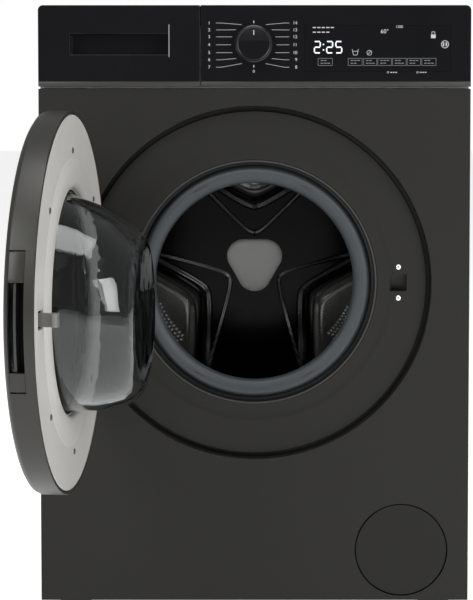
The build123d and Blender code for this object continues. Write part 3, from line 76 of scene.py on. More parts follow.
def extent(node):
    """The size of a frame piece along each axis."""
    low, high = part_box(node)
    return Vector(high) - Vector(low)


def depths(node):
    """How far a frame piece's near and far ends lie behind the front face, in millimetres."""
    low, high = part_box(node)
    return (low[1] - FRONT_Y) / MM, (high[1] - FRONT_Y) / MM


def joint(name):
    """One joint as the frame gives it."""
    return next(j for j in frame["joints"] if j["name"] == name)


FRONT_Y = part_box("front_panel")[0][1]
PORT = Vector((0, FRONT_Y, middle("drum_shell").z))
HINGE = Vector(joint("door_hinge")["pos_m"])
DOOR_OPEN = math.radians(-joint("door_hinge")["range_deg"][0])
DOOR_TURN = (
    Matrix.Translation(HINGE) @ Matrix.Rotation(-DOOR_OPEN, 4, "Z") @ Matrix.Translation(-HINGE)
)


# ---------------------------------------------------------------- shader helpers
class Wire:
    """A number socket that takes part in plain arithmetic."""

    def __init__(self, finish, socket):
        self.finish = finish
        self.socket = socket

    def _math(self, operation, *values):
        node = self.finish.node("ShaderNodeMath", {"operation": operation}, dict(enumerate(values)))
        return Wire(self.finish, node.outputs[0])

    def __add__(self, other):
        return self._math("ADD", self, other)

    __radd__ = __add__

    def __mul__(self, other):
        return self._math("MULTIPLY", self, other)

    __rmul__ = __mul__

    def __sub__(self, other):
        return self._math("SUBTRACT", self, other)

    def __rsub__(self, other):
        return self._math("SUBTRACT", other, self)

    def __pow__(self, other):
        return self._math("POWER", self, other)

    def clamp(self):
        """The value held between 0 and 1."""
        return self._math("MAXIMUM", self._math("MINIMUM", self, 1.0), 0.0)


class Finish:
    """One material and its node tree."""

    def __init__(self, name):
        self.material = bpy.data.materials.new(name)
        self.material.use_nodes = True
        self.tree = self.material.node_tree
        self.shader = self.tree.nodes["Principled BSDF"]
        self.coords = self.node("ShaderNodeTexCoord").outputs["Object"]

    def node(self, kind, settings=None, sockets=None):
        """A node of a kind, its settings made first and then its sockets."""
        node = self.tree.nodes.new(kind)
        for key, value in (settings or {}).items():
            setattr(node, key, value)
        for key, value in (sockets or {}).items():
            self.feed(node.inputs[key], value)
        return node

    def feed(self, socket, value):
        """Links a wire or socket to an input, or sets a plain value on it."""
        if isinstance(value, Wire):
            value = value.socket
        if isinstance(value, bpy.types.NodeSocket):
            self.tree.links.new(value, socket)
        elif isinstance(value, (tuple, list)) and len(value) == 3 and socket.type == "RGBA":
            socket.default_value = (*value, 1.0)
        else:
            socket.default_value = value

    def set(self, **inputs):
        """Sets inputs of the main shader by name, with _ for a space."""
        for key, value in inputs.items():
            self.feed(self.shader.inputs[key.replace("_", " ")], value)
        return self

    def stretched(self, scale):
        """Object coordinates, scaled along each axis."""
        node = self.node("ShaderNodeMapping", {}, {"Vector": self.coords, "Scale": scale})
        return node.outputs["Vector"]

    def noise(self, scale, detail=3.0, vector=None):
        """Soft noise from 0 to 1."""
        node = self.node(
            "ShaderNodeTexNoise", {},
            {"Vector": vector or self.coords, "Scale": scale, "Detail": detail},
        )
        return Wire(self, node.outputs["Fac"])

    def blend(self, factor, first, second):
        """A colour between two others."""
        node = self.node(
            "ShaderNodeMix", {"data_type": "RGBA"}, {"Factor": factor, 6: first, 7: second}
        )
        return node.outputs[2]

    def bump(self, height, strength, distance):
        """A bump normal from a height."""
        node = self.node(
            "ShaderNodeBump", {}, {"Height": height, "Strength": strength, "Distance": distance}
        )
        return node.outputs["Normal"]


def shade(colour, share):
    """A colour made lighter or darker by a share."""
    return tuple(min(1.0, c * share) for c in colour)


def satin_paint(name, colour, rough=0.42, metal=0.25):
    """Sprayed coat with a faint cloudiness and orange peel."""
    coat = Finish(name)
    cloud = coat.noise(5.0)
    speck = coat.noise(900.0, 2.0)
    tone = coat.blend((cloud * 0.5 + speck * 0.5).clamp(), shade(colour, 0.86), shade(colour, 1.14))
    coat.set(
        Base_Color=tone,
        Metallic=metal,
        Roughness=(rough - 0.05 + cloud * 0.1).clamp(),
        Specular_IOR_Level=0.28,
        Normal=coat.bump(speck, 0.12, 0.0004),
    )
    return coat.material


def moulded(name, colour, rough=0.45):
    """Injection moulded plastic with a fine spark texture."""
    plastic = Finish(name)
    speck = plastic.noise(1400.0, 2.0)
    cloud = plastic.noise(9.0)
    tone = plastic.blend(cloud, shade(colour, 0.92), shade(colour, 1.08))
    plastic.set(
        Base_Color=tone,
        Roughness=(rough - 0.04 + speck * 0.08).clamp(),
        Specular_IOR_Level=0.5,
        Normal=plastic.bump(speck, 0.15, 0.0003),
    )
    return plastic.material


def polished(name, colour, rough=0.08):
    """High gloss plastic with a few faint handling marks."""
    gloss = Finish(name)
    smear = gloss.noise(14.0, 4.0)
    gloss.set(
        Base_Color=gloss.blend(smear, shade(colour, 0.8), shade(colour, 1.2)),
        Roughness=(rough + smear * 0.07).clamp(),
        Specular_IOR_Level=0.14,
        Coat_Weight=0.06,
        Coat_Roughness=0.04,
    )
    return gloss.material


def brushed(name, colour, rough=0.3, along=(1.0, 40.0, 40.0)):
    """Metal with fine lines along one direction."""
    metal = Finish(name)
    lines = metal.noise(60.0, 3.0, metal.stretched(along))
    metal.set(
        Base_Color=metal.blend(lines, shade(colour, 0.8), shade(colour, 1.15)),
        Metallic=1.0,
        Roughness=(rough - 0.08 + lines * 0.16).clamp(),
        Normal=metal.bump(lines, 0.2, 0.0002),
    )
    return metal.material


def rubbery(name, colour, rough=0.55):
    """Soft rubber with a dull, slightly mottled skin."""
    rubber = Finish(name)
    mottle = rubber.noise(60.0, 4.0)
    fine = rubber.noise(1200.0, 2.0)
    rubber.set(
        Base_Color=rubber.blend(mottle, shade(colour, 0.88), shade(colour, 1.12)),
        Roughness=(rough - 0.06 + mottle * 0.12).clamp(),
        Normal=rubber.bump(fine, 0.15, 0.0003),
    )
    return rubber.material


def two_tone_rubber(name, lip, throat_shade, edge):
    """Rubber with painted shade: its own colour, paler, on its lip inside a radius about the porthole's middle,
    and painted near black outside it, where the folds lie in shade.
    """
    rubber = Finish(name)
    split = rubber.node("ShaderNodeSeparateXYZ", {}, {"Vector": rubber.coords})
    across = Wire(rubber, split.outputs["X"])
    height = Wire(rubber, split.outputs["Z"]) - PORT.z
    reach = (across * across + height * height) ** 0.5
    mottle = rubber.noise(60.0, 4.0)
    fine = rubber.noise(1200.0, 2.0)
    # painted shade: past the edge radius the rubber turns near black
    outer = ((reach - edge) * 900.0).clamp()
    tone = rubber.blend(mottle, shade(lip, 0.93), shade(lip, 1.07))
    rubber.set(
        Base_Color=rubber.blend(outer, tone, throat_shade),
        Roughness=(0.5 + mottle * 0.12).clamp(),
        Normal=rubber.bump(fine, 0.15, 0.0003),
    )
    return rubber.material


def pressed_steel(name, dark, pale):
    """Polished pressed sheet with painted light: its near black colour is painted shade, and it is paler, a
    painted highlight, where the sheet is pressed forward.
    """
    steel = Finish(name)
    # painted highlight: the pale share stored on the mesh moves the painted shade colour towards the pale one
    mark = steel.node("ShaderNodeAttribute", {"attribute_name": "pale"})
    share = Wire(steel, mark.outputs["Fac"])
    lines = steel.noise(40.0, 3.0)
    steel.set(
        Base_Color=steel.blend(share, dark, pale),
        Metallic=0.9,
        Roughness=(0.14 + lines * 0.08 + share * 0.2).clamp(),
        Normal=steel.bump(lines, 0.08, 0.0004),
    )
    return steel.material


def cast_stone(name, colour):
    """Grey concrete with pits."""
    stone = Finish(name)
    pits = stone.noise(220.0, 6.0)
    stone.set(
        Base_Color=stone.blend(pits, shade(colour, 0.7), shade(colour, 1.2)),
        Roughness=(0.8 + pits * 0.15).clamp(),
        Normal=stone.bump(pits, 0.5, 0.001),
    )
    return stone.material


def clear_glass(name, tint):
    """Pressed glass, clear with a breath of tint."""
    glass = Finish(name)
    ripple = glass.noise(18.0, 2.0)
    glass.set(
        Base_Color=glass.blend(ripple, shade(tint, 0.91), shade(tint, 1.09)),
        Transmission_Weight=1.0,
        IOR=1.42,
        Roughness=(ripple * 0.012).clamp(),
        Normal=glass.bump(ripple, 0.3, 0.006),
    )
    return glass.material


def lit(name, colour, strength):
    """A lamp segment behind the panel for the display's figures; on printed marks the same glow is painted light.
    """
    lamp = Finish(name)
    glow = lamp.noise(300.0)
    lamp.set(
        Base_Color=(0.0, 0.0, 0.0),
        Emission_Color=lamp.blend(glow, shade(colour, 0.9), colour),
        Emission_Strength=strength,
        Roughness=(0.3 + glow * 0.1).clamp(),
    )
    return lamp.material


FINISHES = {}


def finish(name):
    """A named material, made once from the colours that are set."""
    if name in FINISHES:
        return FINISHES[name]
    colours = bpy.context.scene.washer_colours
    paint, gloss, rim, liner = (
        tuple(colour) for colour in (colours.paint, colours.gloss, colours.rim, colours.liner)
    )
    lip, cap, tint = tuple(colours.gasket), tuple(colours.hub_cap), tuple(colours.glass)
    makers = {
        "graphite_steel": (satin_paint, paint, 0.5, 0.1),
        "zinc_steel": (brushed, (0.5, 0.51, 0.52), 0.4),
        "screw_steel": (brushed, (0.72, 0.72, 0.7), 0.25),
        "black_gloss": (polished, gloss),
        "display_glass": (polished, shade(gloss, 0.9), 0.07),
        "board_plastic": (moulded, (0.03, 0.16, 0.08), 0.5),
        "grey_plastic": (moulded, (0.3, 0.31, 0.32)),
        "white_plastic": (moulded, (0.75, 0.75, 0.73), 0.4),
        "black_plastic": (moulded, (0.012, 0.012, 0.012), 0.4),
        "dark_casting": (satin_paint, (0.06, 0.06, 0.06), 0.5, 0.5),
        # the gasket's near black past 161 mm from the porthole's middle is painted shade
        "gasket_rubber": (two_tone_rubber, lip, (0.012, 0.012, 0.012), 0.161),
        "spring_steel": (brushed, (0.35, 0.35, 0.35), 0.35),
        "hose_rubber": (rubbery, (0.012, 0.012, 0.012)),
        "rim_plastic": (satin_paint, rim, 0.36, 0.3),
        "smoked_cover": (polished, (0.006, 0.006, 0.007)),
        "liner_plastic": (moulded, liner, 0.38),
        "clear_glass": (clear_glass, tint),
        "hook_plastic": (moulded, (0.12, 0.12, 0.12), 0.35),
        "graphite_plastic": (satin_paint, paint),
        "concrete": (cast_stone, (0.4, 0.39, 0.37)),
        "motor_metal": (brushed, (0.45, 0.45, 0.47), 0.45),
        "belt_rubber": (rubbery, (0.01, 0.01, 0.01)),
        "drum_steel": (brushed, (0.55, 0.55, 0.56), 0.22, (40.0, 1.0, 40.0)),
        "lifter_plastic": (moulded, (0.4, 0.4, 0.4), 0.3),
        "spider_metal": (brushed, (0.55, 0.55, 0.56), 0.5),
        "foot_rubber": (rubbery, (0.015, 0.015, 0.015)),
        # printed marks made to glow are painted light; only the display's figures have a real lamp
        "print_white_painted_glow": (lit, (0.75, 0.75, 0.75), 0.85),
        "digit_white": (lit, (0.85, 0.92, 1.0), 1.6),
        "print_dim_painted_glow": (lit, (0.45, 0.46, 0.48), 0.5),
        "trim_grey": (satin_paint, (0.03, 0.03, 0.03), 0.4),
        "rim_metal": (brushed, (0.035, 0.035, 0.036), 0.3),
        "screw_dark": (brushed, (0.09, 0.09, 0.085), 0.4),
        # near black discs stand in for the drum's holes: painted shade
        "hole_painted_shade": (moulded, (0.004, 0.004, 0.004), 0.6),
        "cap_plastic": (moulded, cap, 0.35),
        # the drum back's near black is painted shade and its pale tone a painted highlight
        "drum_back_painted_light": (pressed_steel, (0.004, 0.004, 0.0042), (0.6, 0.6, 0.57)),
    }
    maker, *values = makers[name]
    FINISHES[name] = maker(name, *values)
    return FINISHES[name]


# ---------------------------------------------------------------- mesh helpers
SLOT_OF = {part["node"]: part["material_slot"] for part in frame["record"]["subparts"]}
BODY_OF = {
    node: body
    for body, members in frame["record"]["behaviour"]["bodies"].items()
    for node in members
}


def shown(name, bm, angle=35.0):
    """A new object at the origin from a bmesh, smooth up to an angle."""
    bmesh.ops.remove_doubles(bm, verts=bm.verts, dist=1e-6)
    bmesh.ops.recalc_face_normals(bm, faces=bm.faces)
    mesh = bpy.data.meshes.new(name)
    bm.to_mesh(mesh)
    bm.free()
    piece = bpy.data.objects.new(name, mesh)
    bpy.context.collection.objects.link(piece)
    smooth(mesh, angle)
    return piece


def smooth(mesh, angle=35.0):
    """Smooth shading with sharp edges past an angle."""
    mesh.shade_smooth()
    mesh.set_sharp_from_angle(angle=math.radians(angle))


def dress(piece, material, body, slot, *nodes):
    """Gives a piece its material, body and the frame pieces it stands for; the record slot is not used."""
    piece.data.materials.clear()
    piece.data.materials.append(finish(material))
    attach(piece, body)
    if nodes:
        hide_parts(*nodes)
    return piece


def softened(piece, width, limit, angle):
    """Rounds a piece's edges past a limit, in degrees."""
    rounder = piece.modifiers.new("edge", "BEVEL")
    rounder.width = width
    rounder.segments = 2
    rounder.limit_method = "ANGLE"
    rounder.angle_limit = math.radians(limit)
    apply_modifiers(piece)
    smooth(piece.data, angle)


def apply_modifiers(piece):
    """Turns a piece's modifiers into its mesh."""
    graph = bpy.context.evaluated_depsgraph_get()
    baked = bpy.data.meshes.new_from_object(piece.evaluated_get(graph))
    piece.modifiers.clear()
    piece.data = baked


def joined_copy(node):
    """A frame piece's own triangles, joined."""
    bm = bmesh.new()
    bm.from_mesh(frame["nodes"][node].data)
    bmesh.ops.remove_doubles(bm, verts=bm.verts, dist=2e-6)
    return bm


def refined(node, bevel):
    """The frame piece with softened edges and its own material, in place of the plain one."""
    bm = joined_copy(node)
    bmesh.ops.dissolve_limit(bm, angle_limit=math.radians(0.6), verts=bm.verts, edges=bm.edges)
    piece = shown(f"{node}_shape", bm)
    if bevel:
        softened(piece, bevel, 40, 40.0)
    facing = piece.modifiers.new("facing", "WEIGHTED_NORMAL")
    facing.keep_sharp = True
    apply_modifiers(piece)
    return dress(piece, SLOT_OF[node], BODY_OF[node], SLOT_OF[node], node)


class Shape:
    """A mesh in the making, given in millimetres from the front face."""

    def __init__(self, turn=None):
        self.bm = bmesh.new()
        self.turn = turn or Matrix.Identity(4)

    def spot(self, x, depth, z):
        """A point by its x, its depth behind the front face and its height."""
        return self.turn @ Vector((x * MM, FRONT_Y + depth * MM, z * MM))

    def skin(self, rows, closed=True):
        """Faces between rows of points; closed joins the last row to the first."""
        grid = [[self.bm.verts.new(p) for p in row] for row in rows]
        pairs = zip(grid, grid[1:] + grid[:1]) if closed else zip(grid, grid[1:])
        for first, second in pairs:
            for k in range(len(first)):
                after = (k + 1) % len(first)
                self.bm.faces.new((first[k], first[after], second[after], second[k]))
        return self

    def turned(self, outline, x=0.0, z=None, steps=120, closed=True):
        """A section of (radius, depth) points, or (radius, depth, drop), turned about an axis."""
        z = PORT.z / MM if z is None else z
        rows = []
        for radius, depth, *drop in outline:
            reach = max(radius, 1e-4)
            turns = [2 * math.pi * k / steps for k in range(steps)]
            rows.append([
                self.spot(x + reach * math.cos(t), depth, z - sum(drop) + reach * math.sin(t))
                for t in turns
            ])
        return self.skin(rows, closed)

    def slab(self, x, depth, z):
        """A block between two x, two depths and two heights."""
        corners = [(x[0], z[0]), (x[1], z[0]), (x[1], z[1]), (x[0], z[1])]
        return self.prism(corners, depth)

    def prism(self, outline, depth, taper=1.0):
        """An outline of (x, z) points between two depths, its far end scaled by a taper."""
        near = [self.bm.verts.new(self.spot(px, depth[0], pz)) for px, pz in outline]
        far = [
            self.bm.verts.new(self.spot(px * taper, depth[1], pz * taper)) for px, pz in outline
        ]
        self.bm.faces.new(near)
        self.bm.faces.new(far[::-1])
        for k in range(len(outline)):
            after = (k + 1) % len(outline)
            self.bm.faces.new((near[k], near[after], far[after], far[k]))
        return self

    def chain(self, points, width, depth):
        """Flat strokes from each (x, z) point to the next."""
        for start, end in zip(points, points[1:]):
            self.line(start, end, width, depth)
        return self

    def hoop(self, x, z, outer, inner, depth, steps):
        """A flat ring between two radii."""
        near, far = depth
        return self.turned([(outer, near), (inner, near), (inner, far), (outer, far)], x, z, steps)

    def line(self, start, end, width, depth):
        """A flat stroke between two (x, z) points."""
        (x0, z0), (x1, z1) = start, end
        length = math.hypot(x1 - x0, z1 - z0)
        sx, sz = -(z1 - z0) / length * width / 2, (x1 - x0) / length * width / 2
        return self.prism(
            [(x0 + sx, z0 + sz), (x1 + sx, z1 + sz), (x1 - sx, z1 - sz), (x0 - sx, z0 - sz)], depth
        )

    def words(self, text, x, z, size, depth, align="CENTER"):
        """Printed figures with their middle line at a height."""
        curve = bpy.data.curves.new("figures", "FONT")
        curve.body = text
        curve.size = size
        curve.align_x = align
        curve.align_y = "CENTER"
        curve.extrude = abs(depth[1] - depth[0]) / 2
        holder = bpy.data.objects.new("figures", curve)
        bpy.context.collection.objects.link(holder)
        graph = bpy.context.evaluated_depsgraph_get()
        mesh = bpy.data.meshes.new_from_object(holder.evaluated_get(graph))
        bpy.data.objects.remove(holder)
        deep = (depth[0] + depth[1]) / 2
        for vertex in mesh.vertices:
            px, pz, out = vertex.co
            vertex.co = self.spot(x + px, deep - out, z + pz)
        self.bm.from_mesh(mesh)
        bpy.data.meshes.remove(mesh)
        return self

    def finished(self, name, bevel=0.0, angle=35.0):
        """The shape as an object, with softened edges."""
        piece = shown(name, self.bm, angle)
        if bevel:
            softened(piece, bevel * MM, 30, angle)
        return piece


def eased(share):
    """A soft step from 0 to 1."""
    share = min(1.0, max(0.0, share))
    return share * share * (3 - 2 * share)


def around(radius, angle, z=None):
    """The x and z of a point at a radius and an angle from the porthole's middle."""
    z = PORT.z / MM if z is None else z
    turn = math.radians(angle)
    return radius * math.cos(turn), z + radius * math.sin(turn)


def tree_with(name, sockets):
    """An empty geometry tree with named inputs, the points that it grows on first."""
    tree = bpy.data.node_groups.new(name, "GeometryNodeTree")
    ids = {}
    for label, kind in (("Geometry", "Geometry"), *sockets, ("Material", "Material")):
        socket = tree.interface.new_socket(label, in_out="INPUT", socket_type=f"NodeSocket{kind}")
        ids[label] = socket.identifier
    tree.interface.new_socket("Geometry", in_out="OUTPUT", socket_type="NodeSocketGeometry")
    return tree, ids


def tree_node(tree, kind, settings=None, sockets=None):
    """A node of a geometry tree, its settings made first and then its sockets."""
    node = tree.nodes.new(kind)
    for key, value in (settings or {}).items():
        setattr(node, key, value)
    for key, value in (sockets or {}).items():
        if isinstance(value, bpy.types.NodeSocket):
            tree.links.new(value, node.inputs[key])
        else:
            node.inputs[key].default_value = value
    return node


def close_tree(tree, geometry, material):
    """Ends a tree with real geometry and one material."""
    real = tree_node(tree, "GeometryNodeRealizeInstances", {}, {"Geometry": geometry})
    coat = tree_node(
        tree, "GeometryNodeSetMaterial", {}, {"Geometry": real.outputs[0], "Material": material}
    )
    tree_node(tree, "NodeGroupOutput", {}, {0: coat.outputs[0]})


def grown(name, tree, ids, values, points):
    """The mesh that a tree makes over a set of (place, turn) points."""
    mesh = bpy.data.meshes.new(name)
    mesh.from_pydata([tuple(place) for place, turn in points], [], [])
    turns = mesh.attributes.new("turn", "FLOAT_VECTOR", "POINT")
    turns.data.foreach_set("vector", [c for place, turn in points for c in turn])
    piece = bpy.data.objects.new(name, mesh)
    bpy.context.collection.objects.link(piece)
    grower = piece.modifiers.new("grow", "NODES")
    grower.node_group = tree
    for label, value in values.items():
        grower[ids[label]] = value
    apply_modifiers(piece)
    return piece


def repeated(name, seed, points, material):
    """One small shape set at many points, as one mesh."""
    tree, ids = tree_with(f"{name}_tree", (("Shape", "Object"), ("Size", "Float")))
    inputs = tree_node(tree, "NodeGroupInput").outputs
    shape = tree_node(tree, "GeometryNodeObjectInfo", {}, {"Object": inputs["Shape"]})
    turn = tree_node(
        tree, "GeometryNodeInputNamedAttribute", {"data_type": "FLOAT_VECTOR"}, {"Name": "turn"}
    )
    place = tree_node(
        tree, "GeometryNodeInstanceOnPoints", {},
        {
            "Points": inputs["Geometry"], "Instance": shape.outputs["Geometry"],
            "Rotation": turn.outputs["Attribute"], "Scale": inputs["Size"],
        },
    )
    close_tree(tree, place.outputs[0], inputs["Material"])
    values = {"Shape": seed, "Size": 1.0, "Material": finish(material)}
    piece = grown(name, tree, ids, values, points)
    bpy.data.objects.remove(seed)
    smooth(piece.data)
    return piece


def bare_seed(name, outline, steps, cross=0.0):
    """A small turned shape about its own Y axis, for repeating; cross cuts a driver recess."""
    shape = Shape(Matrix.Translation((0, -FRONT_Y, 0))).turned(outline, 0.0, 0.0, steps, False)
    if cross:
        top = outline[0][1] - 0.03
        for wide, tall in ((cross * 0.28, cross), (cross, cross * 0.28)):
            corners = [(-wide, -tall), (wide, -tall), (wide, tall), (-wide, tall)]
            shape.prism(corners, (top, top + 0.02), 0.6)
    return shape.finished(name)


REPLACED = [
    "door_gasket", "program_knob", "drum_lifters", "drum_hub_cap", "suspension_springs",
    "front_screws", "door_screws", "rear_screws", "door_glass",
]
BEVELS = {
    "drawer_front": 1.0, "top_cover": 1.6, "filter_hatch": 0.5, "door_hook": 0.8,
    "door_handle": 0.7,
}


class WASHER_OT_stage(bpy.types.Operator):
    """Makes the floor, the soft light and the camera"""
    bl_idname = "washer.stage"
    bl_label = "Stage"

    def execute(self, context):
        bm = bmesh.new()
        bmesh.ops.create_grid(bm, x_segments=1, y_segments=1, size=30.0)
        floor = shown("floor", bm)
        pale = Finish("pale_floor")
        cloud = pale.noise(0.6)
        pale.set(
            Base_Color=pale.blend(cloud, (0.86, 0.86, 0.86), (0.9, 0.9, 0.9)),
            Roughness=(0.75 + cloud * 0.1).clamp(),
            Emission_Color=pale.blend(cloud, (0.98, 0.98, 0.98), (1.0, 1.0, 1.0)),
            Emission_Strength=0.62,
        )
        floor.data.materials.append(pale.material)
        world = bpy.data.worlds.new("studio")
        world.use_nodes = True
        tree = world.node_tree
        soft = tree.nodes["Background"]
        backdrop = tree.nodes.new("ShaderNodeBackground")
        for light, strength in ((soft, 0.3), (backdrop, 1.0)):
            light.inputs["Color"].default_value = (1.0, 1.0, 1.0, 1.0)
            light.inputs["Strength"].default_value = strength
        path = tree.nodes.new("ShaderNodeLightPath")
        both = tree.nodes.new("ShaderNodeMixShader")
        tree.links.new(path.outputs["Is Camera Ray"], both.inputs[0])
        tree.links.new(soft.outputs[0], both.inputs[1])
        tree.links.new(backdrop.outputs[0], both.inputs[2])
        tree.links.new(both.outputs[0], tree.nodes["World Output"].inputs["Surface"])
        context.scene.world = world
        context.scene.view_settings.view_transform = "Standard"
        self.light("key", (-2.4, -3.0, 2.6), (1.6, 2.4), 110.0)
        self.light("fill", (2.6, -2.6, 1.8), (1.2, 2.2), 80.0)
        self.light("top", (0.0, -0.8, 3.2), (2.2, 1.6), 60.0)
        self.camera(context)
        return {"FINISHED"}

    def light(self, name, place, size, power):
        """A soft rectangular lamp aimed at the porthole."""
        lamp = bpy.data.lights.new(name, "AREA")
        lamp.shape = "RECTANGLE"
        lamp.size, lamp.size_y = size
        lamp.energy = power
        holder = bpy.data.objects.new(name, lamp)
        bpy.context.collection.objects.link(holder)
        holder.location = place
        aim = PORT - Vector(place)
        holder.rotation_euler = aim.to_track_quat("-Z", "Y").to_euler()

    def camera(self, context):
        """The camera, tilted down a little and framed by its shift."""
        settings = context.scene.washer_stage
        lens = bpy.data.cameras.new("camera")
        lens.lens = settings.lens
        lens.sensor_width = 36.0
        lens.shift_x = settings.shift_x
        lens.shift_y = settings.shift_y
        lens.clip_end = 60.0
        camera = bpy.data.objects.new("camera", lens)
        context.collection.objects.link(camera)
        camera.location = (0.0, FRONT_Y - settings.distance, settings.height)
        camera.rotation_euler = (math.radians(90) - settings.tilt, 0.0, 0.0)
        context.scene.camera = camera


def colour_of(label, description, value):
    """A colour that a user would change."""
    return bpy.props.FloatVectorProperty(
        name=label, description=description, subtype="COLOR", min=0.0, max=1.0, default=value
    )


def measure(label, description, value, **kind):
    """A number that a user would change, with its unit or subtype."""
    return bpy.props.FloatProperty(name=label, description=description, default=value, **kind)


def count_of(label, description, value):
    """A count that a user would change."""
    return bpy.props.IntProperty(name=label, description=description, default=value, min=3)


class WasherStage(bpy.types.PropertyGroup):
    """Where the camera stands"""
    distance: measure("Distance", "From the front panel", 2.5, unit="LENGTH")
    height: measure("Height", "Above the floor", 0.698, unit="LENGTH")
    tilt: measure("Tilt", "Downwards", math.radians(3.0), subtype="ANGLE")
    lens: measure("Lens", "Focal length in millimetres", 108.4)
    shift_x: measure("Shift X", "Sideways, as a share of the frame", -0.0300)
    shift_y: measure("Shift Y", "Upwards, as a share of the frame", -0.1555)


class WasherSizes(bpy.types.PropertyGroup):
    """Counts and sizes of the finished pieces"""
    knob_ribs: count_of("Knob ribs", "Ribs round the knob", 72)
    hole_rows: count_of("Hole rows", "Rows of holes along the drum", 17)
    holes_around: count_of("Holes around", "Holes in each row", 96)
    lifter_height: measure("Lifter height", "From the drum's wall", 0.048, unit="LENGTH")
    glass_wall: measure("Glass wall", "Thickness of the bowl", 0.005, unit="LENGTH")
    gasket_wall: measure("Gasket wall", "Thickness of the rubber", 0.0024, unit="LENGTH")
    spring_turns: measure("Spring turns", "Turns of each suspension spring", 17.0)
    spring_wire: measure("Spring wire", "Radius of the spring's wire", 0.0016, unit="LENGTH")


class WasherColours(bpy.types.PropertyGroup):
    """Colours of the main finishes"""
    paint: colour_of("Paint", "Cabinet panels and top", (0.0060, 0.0057, 0.0045))
    gloss: colour_of("Gloss", "Console, drawer front and knob", (0.004, 0.004, 0.005))
    rim: colour_of("Rim", "Ring of the door", (0.026, 0.0255, 0.0225))
    liner: colour_of("Liner", "Inner face of the door", (0.42, 0.41, 0.39))
    gasket: colour_of("Gasket", "Lip of the door gasket", (0.020, 0.025, 0.029))
    hub_cap: colour_of("Hub cap", "Cap in the middle of the drum", (0.68, 0.68, 0.66))
    glass: colour_of("Glass", "Tint of the bowl", (0.62, 0.645, 0.645))


class WASHER_OT_cabinet(bpy.types.Operator):
    """Refines every frame piece that keeps its own shape"""
    bl_idname = "washer.cabinet"
    bl_label = "Cabinet and inner pieces"

    def execute(self, context):
        for node in SLOT_OF:
            if node not in REPLACED:
                refined(node, BEVELS.get(node, 0.0) * MM)
        return {"FINISHED"}


FACE = depths("console_fascia")[0]
PRINT = (FACE - 0.12, FACE - 0.02)      # ink stands this far off the face
DRAWER_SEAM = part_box("drawer_front")[1][0] / MM
KNOB_X, KNOB_Z = (middle("program_knob") / MM).x, (middle("program_knob") / MM).z
LABEL_ROWS = (820.4, 810.9, 801.4, 790.5, 779.7, 769.9, 759.7)
SEGMENTS = {
    "a": ((0.06, 1.0), (0.94, 1.0)), "b": ((1.0, 0.94), (1.0, 0.56)), "c": ((1.0, 0.44), (1.0, 0.06)),
    "d": ((0.06, 0.0), (0.94, 0.0)), "e": ((0.0, 0.44), (0.0, 0.06)), "f": ((0.0, 0.94), (0.0, 0.56)),
    "g": ((0.06, 0.5), (0.94, 0.5)),
}
DIGIT = {"2": "abged", "5": "afgcd"}


